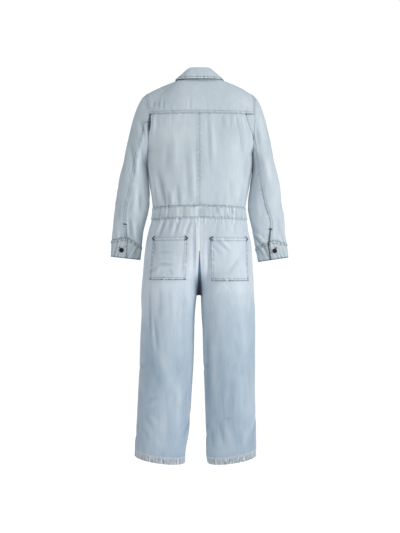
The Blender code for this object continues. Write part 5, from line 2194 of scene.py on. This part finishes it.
@dataclass
class Waistband:
    """The waistband: one piece behind, two in front that meet under a button."""

    form: Form
    finishes: Wardrobe
    creases: Creases
    slot: str = "denim_top"
    proud: float = 0.0006
    row_inset: float = 0.0030

    def build(self) -> dict[Side, Panel]:
        """Makes the band and its rows of stitches.

        Returns:
            The front pieces, which the band's button sits on.
        """
        sewing = Sewing("waistband_stitching")
        back = self._piece("waistband_back", Face.BACK, even(-1.0, 1.0, 110), 12.0)
        fronts = {}
        for side in Side:
            stops = even(0.0, float(side), 56)
            name = "waistband_front_" + side.label
            fronts[side] = self._piece(name, Face.FRONT, stops, 13.0 + side)
        for panel in (back, *fronts.values()):
            sewing.follow(panel)
        sewing.build(self.finishes.thread, self.slot)
        return fronts

    def _piece(self, node: str, face: Face, stops: Sequence[float], seed: float) -> Panel:
        """One piece of the band, between signed shares of the half sections.

        Args:
            node: the solid it stands for.
            face: back or front.
            stops: signed shares of the half sections.
            seed: makes its puckers its own.

        Returns:
            The piece.
        """
        def surface(u: float, z: float) -> Vector:
            """Point of the band.

            Args:
                u: signed share of the half section.
                z: height.

            Returns:
                The middle of the cloth there.
            """
            side = Side.LEFT if u >= 0.0 else Side.RIGHT
            share = 0.55 * abs(u) + 0.45 * (1.0 - (1.0 - abs(u)) ** 2)
            return self.form.torso_point(side, face, share, z, self.proud)

        edges = {Rim.LOW: Edge.OVER, Rim.HIGH: Edge.OVER}
        if face == Face.BACK:
            edges |= {Rim.START: Edge.OVER, Rim.END: Edge.OVER}
        else:
            edges |= {Rim.END: Edge.UNDER, Rim.START: Edge.FREE}
        panel = Panel(
            node + "_cloth", surface, stops, even(BAND_BOTTOM_Z, BAND_TOP_Z, 12), body_axis, self.creases,
            edges=edges, puckers={Rim.LOW: 0.0005, Rim.HIGH: 0.0005}, gather=0.0009, row_tone=0.18,
            rows={Rim.LOW: (self.row_inset,), Rim.HIGH: (self.row_inset,)}, thickness=BAND_CLOTH,
            stand_off=0.0017, reshape=waist_arch, seed=seed,
        ).shape()
        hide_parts(node)
        above = ["%s_body_%s" % (face.label, side.label) for side in Side]
        panel.declare(self.finishes.top, self.slot, "gathered", above)
        return panel


# ---------------------------------------------------------------- sleeves
@dataclass
class Sleeve:
    """A sleeve of two panels with its vent and its buttoned cuff.

    Attributes:
        side: wearer's side.
        vent_gape: how far the vent stands open at the cuff.
        vent_length: from the cuff to the bar that ends the vent.
        vent_shade: how dark the painted shade in the vent's gap is.
        hole_lean: degrees from the vertical of the cuff's buttonhole.
    """

    side: Side
    form: Form
    finishes: Wardrobe
    creases: Creases
    vent_gape: float = 0.0022
    vent_length: float = 0.0545
    vent_shade: float = 0.18
    hole_lean: float = 42.0
    slot: str = "denim_top"

    def _axis(self, points: np.ndarray) -> np.ndarray:
        """The arm's middle line, level with each point.

        Args:
            points: places on the cloth.

        Returns:
            The line's points.
        """
        arm = self.form.arms[self.side]
        heights = points[..., 2]
        keys = np.array(arm.keys)
        centre = np.interp(heights, keys, [row.centre for row in arm.rows])
        forward = np.interp(heights, keys, [row.forward for row in arm.rows])
        return np.stack([self.side * centre, forward, heights], axis=-1)

    def _seam(self, t: float, way: float) -> float:
        """Angle of the back seam, opened towards the cuff along the vent.

        Args:
            t: 0 at the armhole, 1 at the cuff.
            way: -1 or 1, the vent's two sides.

        Returns:
            Degrees round the arm.
        """
        rows = SLEEVES[self.side]
        z = mix(rows[0].z, rows[-2].z, (t - CAP_SHARE) / (1.0 - CAP_SHARE))
        opened = max(0.0, 1.0 - (z - rows[-2].z) / self.vent_length) ** 0.5
        gape = math.degrees(self.vent_gape / 2.0 / rows[-2].half_width)
        return self.form.arms[self.side].at(z, "seam") + way * gape * opened

    def _gap(self, points: np.ndarray) -> np.ndarray:
        """The painted shade of the vent's gap, from the bar down to the cuff.

        Args:
            points: places on the cloth.

        Returns:
            Painted shade to add to the wear_and_shade mark.
        """
        arm, foot = self.form.arms[self.side], SLEEVES[self.side][-2].z
        heights = np.array(even(foot - 0.010, foot + self.vent_length, 12))
        seam = [self.form.sleeve_ring(self.side, arm.at(z, "seam"), z).x for z in heights]
        z = points[..., 2]
        near = np.exp(-(((points[..., 0] - np.interp(z, heights, seam)) / 0.0024) ** 2))
        below = np.clip((foot + self.vent_length + 0.008 - z) / 0.008, 0.0, 1.0)
        return -self.vent_shade * near * below * (points[..., 1] > arm.at(foot, "forward"))

    def build(self) -> Panel:
        """Makes the sleeve, its cuff and its sewing.

        Returns:
            The cuff's panel, which its button sits on.
        """
        side, form = self.side, self.form
        sewing = Sewing("sleeve_stitching_" + side.label)
        tacks = Sewing("sleeve_tacks_" + side.label)

        def outer_surface(u: float, t: float) -> Vector:
            """Point of the outer panel."""
            return form.sleeve_point(side, mix(self._seam(t, -1.0), SLEEVE_UNDER_SEAM - 360.0, u), t)

        def inner_surface(u: float, t: float) -> Vector:
            """Point of the inner panel."""
            return form.sleeve_point(side, mix(self._seam(t, 1.0), SLEEVE_UNDER_SEAM, u), t)

        outer = Panel(
            "sleeve_outer_cloth_" + side.label, outer_surface, even(0.0, 1.0, 76), even(0.0, 1.0, 112),
            self._axis, self.creases,
            edges={Rim.START: Edge.OVER, Rim.END: Edge.OVER, Rim.LOW: Edge.UNDER, Rim.HIGH: Edge.UNDER},
            puckers={Rim.START: 0.0007, Rim.LOW: 0.0004, Rim.HIGH: 0.0012},
            rows={Rim.START: (0.0016, 0.0074)}, fade_and_shade=self._gap, seed=15.0 + side,
        ).shape()
        inner = Panel(
            "sleeve_inner_cloth_" + side.label, inner_surface, even(0.0, 1.0, 30), even(0.0, 1.0, 112),
            self._axis, self.creases,
            edges=dict.fromkeys(Rim, Edge.UNDER),
            puckers={Rim.START: 0.0006, Rim.HIGH: 0.0012}, fade_and_shade=self._gap, seed=17.0 + side,
        ).shape()
        sewing.follow(outer, {Rim.START: (0.02, 0.99)})
        line = outer.line(Rim.START, 0.0015)
        run = lengths(line.points[:, None, :], 0)[:, 0]
        vent = int(np.searchsorted(run, run[-1] - self.vent_length))
        normal = Vector(line.normals[vent])
        bar = Vector(line.points[vent]) + normal * 0.0008
        tacks.tack(bar, Vector((1.0, 0.0, 0.1)), normal, 0.0125, 0.0048)
        cuff = self._cuff(sewing, tacks)
        sewing.build(self.finishes.thread, self.slot)
        tacks.build(self.finishes.tack, self.slot)
        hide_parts("sleeve_outer_" + side.label)
        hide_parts("sleeve_inner_" + side.label)
        outer.declare(self.finishes.top, self.slot, "hung", ["back_yoke"])
        inner.declare(self.finishes.top, self.slot, "hung", ["back_body_" + side.label])
        return cuff

    def _cuff(self, sewing: Sewing, tacks: Sewing) -> Panel:
        """The cuff, its outer end lapped over its inner end at the vent.

        Args:
            sewing: the rows of stitches, which it adds to.
            tacks: the bar tacks, which it adds to.

        Returns:
            The cuff.
        """
        side, form = self.side, self.form
        rows = SLEEVES[side]
        arm = form.arms[side]
        top_z = rows[-2].z
        lap = math.degrees(CUFF_LAP / rows[-2].half_width)
        step = BAND_CLOTH + 0.0010

        def surface(u: float, v: float) -> Vector:
            """Point of the cuff.

            Args:
                u: share from its lapped edge round the wrist.
                v: share from its lower edge.

            Returns:
                The middle of the cloth there.
            """
            turned = u * (360.0 + lap)
            angle = rows[-2].seam + CUFF_SEAM_TURN - turned
            lift = step * max(0.0, 1.0 - max(0.0, turned - lap) / CUFF_LAP_EASE)
            point = form.sleeve_ring(side, angle, mix(top_z - CUFF_HEIGHT, top_z, v))
            level = point.z
            out_x = (point.x - side * arm.at(level, "centre")) / arm.at(level, "half_width") ** 2
            out_y = (point.y - arm.at(level, "forward")) / arm.at(level, "half_depth") ** 2
            point.z += form.cuff_rise(side, angle) * v
            return point + Vector((out_x, out_y, 0.0)).normalized() * lift

        panel = Panel(
            "cuff_cloth_" + side.label, surface, even(0.0, 1.0, 110), even(0.0, 1.0, 15), self._axis,
            self.creases,
            edges=dict.fromkeys(Rim, Edge.FREE) | {Rim.HIGH: Edge.OVER},
            puckers={Rim.LOW: 0.0012, Rim.HIGH: 0.0018, Rim.START: 0.0011}, pucker_pitch=0.0100,
            rows={Rim.HIGH: (0.0024, 0.0084), Rim.LOW: (0.0030,), Rim.START: (0.0024, 0.0080)},
            # the top edge rubbed paler; painted shadow in the slit along the lapped edge, and painted shade
            # of the cuff's dark opening along its lower edge
            tones={Rim.HIGH: 0.24, Rim.START: -2.6 * self.vent_shade, Rim.LOW: -0.50}, gather=0.0008,
            row_tone=0.34, tone_reach=0.0030, rubbed={Rim.HIGH: 0.0400, Rim.START: 0.0120}, rub_share=0.45,
            fade_and_shade=lambda points: np.full(points.shape[:2], -0.12),
            thickness=BAND_CLOTH, stand_off=0.0017, seed=19.0 + side,
        ).shape()
        sewing.follow(panel)
        node = "cuff_button_" + side.label
        low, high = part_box(node)
        place, normal, along = panel.nearest((low + high) / 2.0)
        across = Vector((float(side), 0.0, 0.0))
        lean = math.radians(self.hole_lean)
        way = (along * math.cos(lean) + across * math.sin(lean)).normalized()
        for shift in (-0.0011, 0.0011):
            beside = normal.cross(way).normalized() * shift
            tacks.tack(place + way * 0.0070 + beside + normal * 0.0003, way, normal, 0.0150, 0.0018)
        tacks.tack(place + way * 0.0146 + normal * 0.0003, normal.cross(way), normal, 0.0036, 0.0016)
        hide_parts("cuff_" + side.label)
        panel.declare(self.finishes.top, self.slot, "folded", ["sleeve_outer_" + side.label])
        return panel


# ---------------------------------------------------------------- trousers
@dataclass
class Trousers:
    """Leg panels and back pockets.

    Attributes:
        hem_height: from the hem's edge to its row of stitches.
        shade_top: height where the fork's painted shade starts.
        shade_half: its half width at the fork, and shade_tip at its top.
        fork_low: the grid's rows are closer together from here to fork_high.
        paling: how much paler the seat is than the shins, above paling_z.
        settle_reach: the front is evened out within this height of the fork.
        settle_from: and from this far beside it.
        pocket_hem: from a pocket's top edge to its row of stitches.
    """

    form: Form
    finishes: Wardrobe
    creases: Creases
    slot: str = "denim_trousers"
    hem_height: float = 0.0250
    shade_top: float = -0.618
    shade_half: float = 0.0100
    shade_tip: float = 0.0012
    fork_low: float = -0.800
    fork_high: float = -0.740
    paling: float = 0.27
    paling_z: float = -0.83
    shin_shade: float = 0.14
    hem_shade: float = 0.16
    settle_reach: float = 0.055
    settle_from: float = 0.02
    pair: tuple[float, float] = (0.0022, 0.0088)
    pocket_hem: float = 0.0105

    def build(self) -> None:
        """Makes the legs and pockets, and sews them."""
        for side in Side:
            sewing = Sewing("trouser_stitching_" + side.label)
            tacks = Sewing("pocket_tacks_" + side.label)
            for face in Face:
                self._leg(side, face, sewing)
            self._pocket(side, sewing, tacks)
            sewing.build(self.finishes.thread, self.slot)
            tacks.build(self.finishes.tack, self.slot)

    def _axis(self, side: Side) -> Callable[[np.ndarray], np.ndarray]:
        """The middle line of a leg and of its half of the seat.

        Args:
            side: wearer's side.

        Returns:
            The line, as a function of the points.
        """
        def middle(points: np.ndarray) -> np.ndarray:
            """The line's points, level with the cloth's."""
            axis = np.zeros_like(points)
            axis[..., 0] = side * 0.11
            axis[..., 2] = points[..., 2]
            return axis

        return middle

    def _heights(self) -> list[float]:
        """Heights of the grid's rows, closer together round the fork."""
        low = even(HEM_Z, self.fork_low, 120)
        fork = even(self.fork_low, BRIDGE_Z - 0.0012, 5) + even(BRIDGE_Z + 0.0008, self.fork_high, 10)
        return low + fork[1:] + even(self.fork_high, BAND_BOTTOM_Z, 58)[1:]

    def _fading_and_fork_shade(self, points: np.ndarray) -> np.ndarray:
        """The seat is washed paler than the shins, the cloth is darker round the hems, and the fork's gap is
        painted in shade.

        Args:
            points: places on the cloth.

        Returns:
            Fading, and painted shade of the fork, to add to the wear_and_shade mark.
        """
        z = points[..., 2]
        seat = self.paling / (1.0 + np.exp(-(z - self.paling_z) / 0.055)) - self.shin_shade
        hem = -self.hem_shade * np.exp(-(((z - HEM_Z) / 0.022) ** 2))
        down = np.clip((self.shade_top - z) / (self.shade_top - BRIDGE_Z), 0.0, 1.0)
        half = mix(self.shade_tip, self.shade_half, down)
        # painted shade in the gap between the legs above the fork, darker on the back than on the front
        fork = np.exp(-((np.abs(points[..., 0]) / half) ** 4)) * (down > 0.0) * (z > BRIDGE_Z - 0.004)
        return seat + hem - np.where(points[..., 1] > 0.0, 1.5, 0.5) * fork

    def _settled(self, points: np.ndarray) -> np.ndarray:
        """Evens out the step between the seat's rows and the leg's, away from the fork.

        Args:
            points: places on the cloth.

        Returns:
            The same points, moved.
        """
        settled = points.copy()
        for line in settled:
            far = np.abs(line[:, 2] - BRIDGE_Z) > self.settle_reach
            level = np.interp(line[:, 2], line[far, 2], line[far, 1])
            away = np.clip(np.abs(line[:, 0]) / self.settle_from - 1.0, 0.0, 1.0)
            line[:, 1] += (level - line[:, 1]) * away
        return waist_arch(settled)

    def _leg(self, side: Side, face: Face, sewing: Sewing) -> None:
        """One leg panel, from the waistband to the hem.

        Args:
            side: wearer's side.
            face: back or front.
            sewing: the rows of stitches, which it adds to.
        """
        def surface(s: float, z: float) -> Vector:
            """Point of the panel."""
            return self.form.trouser_point(side, face, s, z)

        seam = Edge.OVER if face == Face.BACK else Edge.UNDER
        count = 88 if face == Face.BACK else 70
        stops = [(1.0 - math.cos(math.pi * f)) / 2.0 * 0.55 + f * 0.45 for f in even(0.0, 1.0, count)]
        panel = Panel(
            "leg_%s_cloth_%s" % (face.label, side.label), surface, stops, self._heights(),
            self._axis(side), self.creases,
            edges={Rim.START: seam, Rim.END: seam, Rim.LOW: Edge.FREE, Rim.HIGH: Edge.UNDER},
            puckers={Rim.LOW: 0.0016, Rim.HIGH: 0.0008, Rim.END: 0.0003, Rim.START: 0.0002},
            rows={Rim.LOW: (self.hem_height,)} | ({Rim.START: self.pair} if face == Face.BACK else {}),
            pucker_reach=self.hem_height * 0.88, pucker_pitch=0.0095, pucker_slant=0.12, pucker_power=6.0,
            # painted shadow under the waistband's edge; the rows' furrows lighter
            rubbed={Rim.LOW: self.hem_height * 1.04}, row_tone=-0.32, tones={Rim.HIGH: -0.22},
            fade_and_shade=self._fading_and_fork_shade,
            reshape=waist_arch if face == Face.BACK else self._settled, seed=21.0 + side + 2 * face,
        ).shape()
        sewing.follow(panel, {} if side == Side.RIGHT else {Rim.START: (0.0, 0.66)})
        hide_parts("leg_%s_%s" % (face.label, side.label))
        panel.declare(self.finishes.trousers, self.slot, "hung", ["waistband_back"])

    def _pocket(self, side: Side, sewing: Sewing, tacks: Sewing) -> None:
        """A patch pocket on the seat, with its hem, double rows and tacked corners.

        Args:
            side: wearer's side.
            sewing: the rows of stitches, which it adds to.
            tacks: the bar tacks, which it adds to.
        """
        form, pocket = self.form, POCKETS[side]
        found: dict[tuple[float, float], float] = {}

        def seat_s(x: float, z: float) -> float:
            """Where a place of the seat lies in its section.

            Args:
                x: place from side to side.
                z: height.

            Returns:
                The share of the section.
            """
            key = (round(x, 6), round(z, 6))
            if key not in found:
                found[key] = halved(
                    0.0, 1.0, lambda s: abs(form.trouser_point(side, Face.BACK, s, z).x) < x
                )
            return found[key]

        def surface(u: float, v: float) -> Vector:
            """Point of the pocket.

            Args:
                u: share across the piece.
                v: share along the piece.

            Returns:
                The middle of the cloth there.
            """
            z = mix(pocket.bottom_z, pocket.top_z, v)
            inner = seat_s(mix(pocket.inner_bottom, pocket.inner_top, v), z)
            outer = seat_s(mix(pocket.outer_bottom, pocket.outer_top, v), z)
            return form.trouser_point(side, Face.BACK, mix(inner, outer, u), z)

        panel = Panel(
            "pocket_cloth_" + side.label, surface, even(0.0, 1.0, 34), even(0.0, 1.0, 38),
            self._axis(side), self.creases,
            # painted shadow along the pocket's edges, darkest along its lower edge
            edges=dict.fromkeys(Rim, Edge.FREE), tones=dict.fromkeys(Rim, -0.22) | {Rim.LOW: -0.85},
            fade_and_shade=self._fading_and_fork_shade,
            puckers={Rim.LOW: 0.0018, Rim.START: 0.0011, Rim.END: 0.0011, Rim.HIGH: 0.0006},
            row_tone=0.30, pucker_pitch=0.0115, rubbed=dict.fromkeys(Rim, 0.0120), rub_share=0.45,
            rows=dict.fromkeys((Rim.LOW, Rim.START, Rim.END), self.pair) | {Rim.HIGH: (self.pocket_hem,)},
            stand_off=WALL / 2.0 + 0.0021, reshape=waist_arch, seed=31.0 + side,
        ).shape()
        sewing.follow(panel)
        for rim, way in ((Rim.START, 1.0), (Rim.END, -1.0)):
            line = panel.line(rim, 0.0040)
            place, normal = Vector(line.points[-1]), Vector(line.normals[-1])
            for rise in (-1.0, 1.0):
                along = Vector((side * way, 0.0, 0.8 * rise))
                shift = Vector((0.0, 0.0, -0.0040 + 0.0034 * rise))
                tacks.tack(place + shift + normal * 0.0014, along, normal, 0.0135, 0.0052)
        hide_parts("back_pocket_" + side.label)
        panel.declare(self.finishes.trousers, self.slot, "laid", ["leg_back_" + side.label])


# ---------------------------------------------------------------- buttons
class Turn(NamedTuple):
    """A ring of the button's profile."""

    radius: float
    height: float


@dataclass
class Buttons:
    """Shank buttons of dark metal, modelled once and copied onto the cloth."""

    finishes: Wardrobe
    slot: str = "button_metal"
    sides: int = 28
    profile: tuple[Turn, ...] = (
        Turn(0.0074, 0.0000), Turn(0.0085, 0.0007), Turn(0.0086, 0.0018), Turn(0.0082, 0.0027),
        Turn(0.0074, 0.0030), Turn(0.0068, 0.0027), Turn(0.0062, 0.0021), Turn(0.0046, 0.0020),
        Turn(0.0040, 0.0024), Turn(0.0030, 0.0030), Turn(0.0014, 0.0033),
    )

    def model(self) -> bpy.types.Mesh:
        """Models one button, its back at the origin and its face towards +Z."""
        first = self.profile[0]
        deselect()
        bpy.ops.mesh.primitive_circle_add(vertices=self.sides, radius=first.radius, fill_type="NGON")
        piece = bpy.context.object
        bpy.ops.object.mode_set(mode="EDIT")
        bpy.ops.mesh.select_all(action="SELECT")
        for before, ring in zip(self.profile, self.profile[1:]):
            rise = {"value": (0.0, 0.0, ring.height - before.height)}
            bpy.ops.mesh.extrude_region_move(TRANSFORM_OT_translate=rise)
            share = ring.radius / before.radius
            bpy.ops.transform.resize(value=(share, share, 1.0))
        bpy.ops.mesh.select_all(action="SELECT")
        bpy.ops.mesh.normals_make_consistent(inside=False)
        bpy.ops.object.mode_set(mode="OBJECT")
        piece.data.shade_smooth()
        mesh = piece.data.copy()
        bpy.data.objects.remove(piece, do_unlink=True)
        return mesh

    def build(self, seats: dict[str, Panel]) -> None:
        """Sets a button on the cloth at each button's node.

        Args:
            seats: node name to the panel that carries it.
        """
        model = self.model()
        for node, panel in seats.items():
            low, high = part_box(node)
            place, normal, _ = panel.nearest((low + high) / 2.0)
            turn = normal.to_track_quat("Z", "Y").to_matrix().to_4x4()
            mesh = model.copy()
            mesh.name = node + "_metal"
            mesh.transform(Matrix.Translation(place + normal * 0.0002) @ turn)
            piece = bpy.data.objects.new(node + "_metal", mesh)
            bpy.context.scene.collection.objects.link(piece)
            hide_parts(node)
            finish_piece(piece, self.finishes.metal)
            LOG.info("%s sits at %s", piece.name, [round(value, 3) for value in place])


# ---------------------------------------------------------------- the studio
@dataclass
class Studio:
    """Floor, backdrop, soft lights and the photograph's camera."""

    floor_z: float = -1.600
    key_power: float = 92.0
    fill_power: float = 1.0
    top_power: float = 22.0
    seen_strength: float = 1.10
    room_strength: float = 0.21
    target: Vector = field(default_factory=lambda: Vector((0.0, 0.0, -0.65)))

    def build(self) -> None:
        """Makes the stage, the lights and the camera."""
        self._stage()
        self._world()
        self._light("key_light", (-3.5, 2.4, 0.4), 1.7, self.key_power)
        self._light("fill_light", (3.0, 3.4, -0.2), 2.6, self.fill_power)
        self._light("top_light", (0.45, 0.9, 1.7), 1.8, self.top_power)
        self._camera()

    def _stage(self) -> None:
        """A plain flat floor, below the garment."""
        deselect()
        bpy.ops.mesh.primitive_plane_add(size=16.0, location=(0.0, 0.0, self.floor_z))
        floor = bpy.context.object
        floor.name = "pale_floor"
        bpy.ops.object.transform_apply(location=True, rotation=True, scale=True)
        floor.data.materials.append(PaleGround().build())
        LOG.info("floor at %.3f", self.floor_z)

    def _world(self) -> None:
        """A white room: even light from all round, and brighter where the camera sees it."""
        world = bpy.data.worlds.new("pale_room")
        world.use_nodes = True
        tree = world.node_tree
        ground = tree.nodes["Background"]
        ground.inputs["Color"].default_value = (0.92, 0.965, 1.0, 1.0)
        rays = tree.nodes.new("ShaderNodeLightPath")
        strength = tree.nodes.new("ShaderNodeMapRange")
        strength.inputs["To Min"].default_value = self.room_strength
        strength.inputs["To Max"].default_value = self.seen_strength
        tree.links.new(rays.outputs["Is Camera Ray"], strength.inputs["Value"])
        tree.links.new(strength.outputs["Result"], ground.inputs["Strength"])
        bpy.context.scene.world = world
        bpy.context.scene.view_settings.view_transform = "Standard"

    def _light(self, name: str, place: tuple[float, float, float], size: float, power: float) -> None:
        """A soft square light aimed at the garment.

        Args:
            name: its name.
            place: where it stands.
            size: its side.
            power: in watts.
        """
        lamp = bpy.data.lights.new(name, "AREA")
        lamp.shape = "SQUARE"
        lamp.size = size
        lamp.energy = power
        holder = bpy.data.objects.new(name, lamp)
        holder.location = place
        holder.rotation_euler = (self.target - Vector(place)).to_track_quat("-Z", "Y").to_euler()
        bpy.context.scene.collection.objects.link(holder)

    def _camera(self) -> None:
        """The camera, level with the picture's middle and square to the back."""
        lens = bpy.data.cameras.new("photograph_camera")
        lens.sensor_fit = "VERTICAL"
        lens.sensor_height = 36.0
        lens.lens = lens.sensor_height * PHOTO.distance / (PHOTO.rows * PHOTO.metres_per_pixel)
        eye = bpy.data.objects.new("photograph_camera", lens)
        eye.location = (PHOTO.eye_x, PHOTO.distance, PHOTO.eye_z)
        eye.rotation_euler = (math.pi / 2.0, 0.0, math.pi)
        bpy.context.scene.collection.objects.link(eye)
        bpy.context.scene.camera = eye


def main() -> None:
    """Builds the jumpsuit over its frame, piece by piece."""
    logging.basicConfig(level=logging.INFO, format="%(name)s: %(message)s")
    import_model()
    Studio().build()
    form = Form()
    finishes = Wardrobe()
    on_top = Creases.of(BODICE_SEEN, BODICE_HIDDEN, 0.112)
    on_legs = Creases.of(TROUSERS_SEEN, TROUSERS_HIDDEN, 0.095)
    on_sleeves = Creases.of(SLEEVES_SEEN, SLEEVES_HIDDEN, 0.045)
    seats: dict[str, Panel] = {}

    Bodice(form, finishes, on_top).build()
    placket = FrontStrip(
        form, finishes, on_top, "front_placket", BAND_TOP_Z, PLACKET_TOP_Z, "denim_top", "front_body_",
        ["front_button_%d" % number for number in range(1, 6)],
    )
    fly = FrontStrip(
        form, finishes, on_legs, "fly_placket", FLY_END_Z, BAND_BOTTOM_Z, "denim_top", "leg_front_",
        ["front_button_7", "front_button_8"],
    )
    for strip in (placket, fly):
        seats |= dict.fromkeys(strip.buttons, strip.build())
    fronts = Waistband(form, finishes, on_top).build()
    seats["front_button_6"] = fronts[Side.LEFT]
    for side in Side:
        vent = {} if side == Side.LEFT else {
            "vent_gape": 0.0040, "vent_length": 0.0500, "vent_shade": 1.3, "hole_lean": 32.0,
        }
        cuff = Sleeve(side, form, finishes, on_sleeves, **vent).build()
        seats["cuff_button_" + side.label] = cuff
    Trousers(form, finishes, on_legs).build()
    Buttons(finishes).build(seats)


if __name__ == "__main__":
    main()
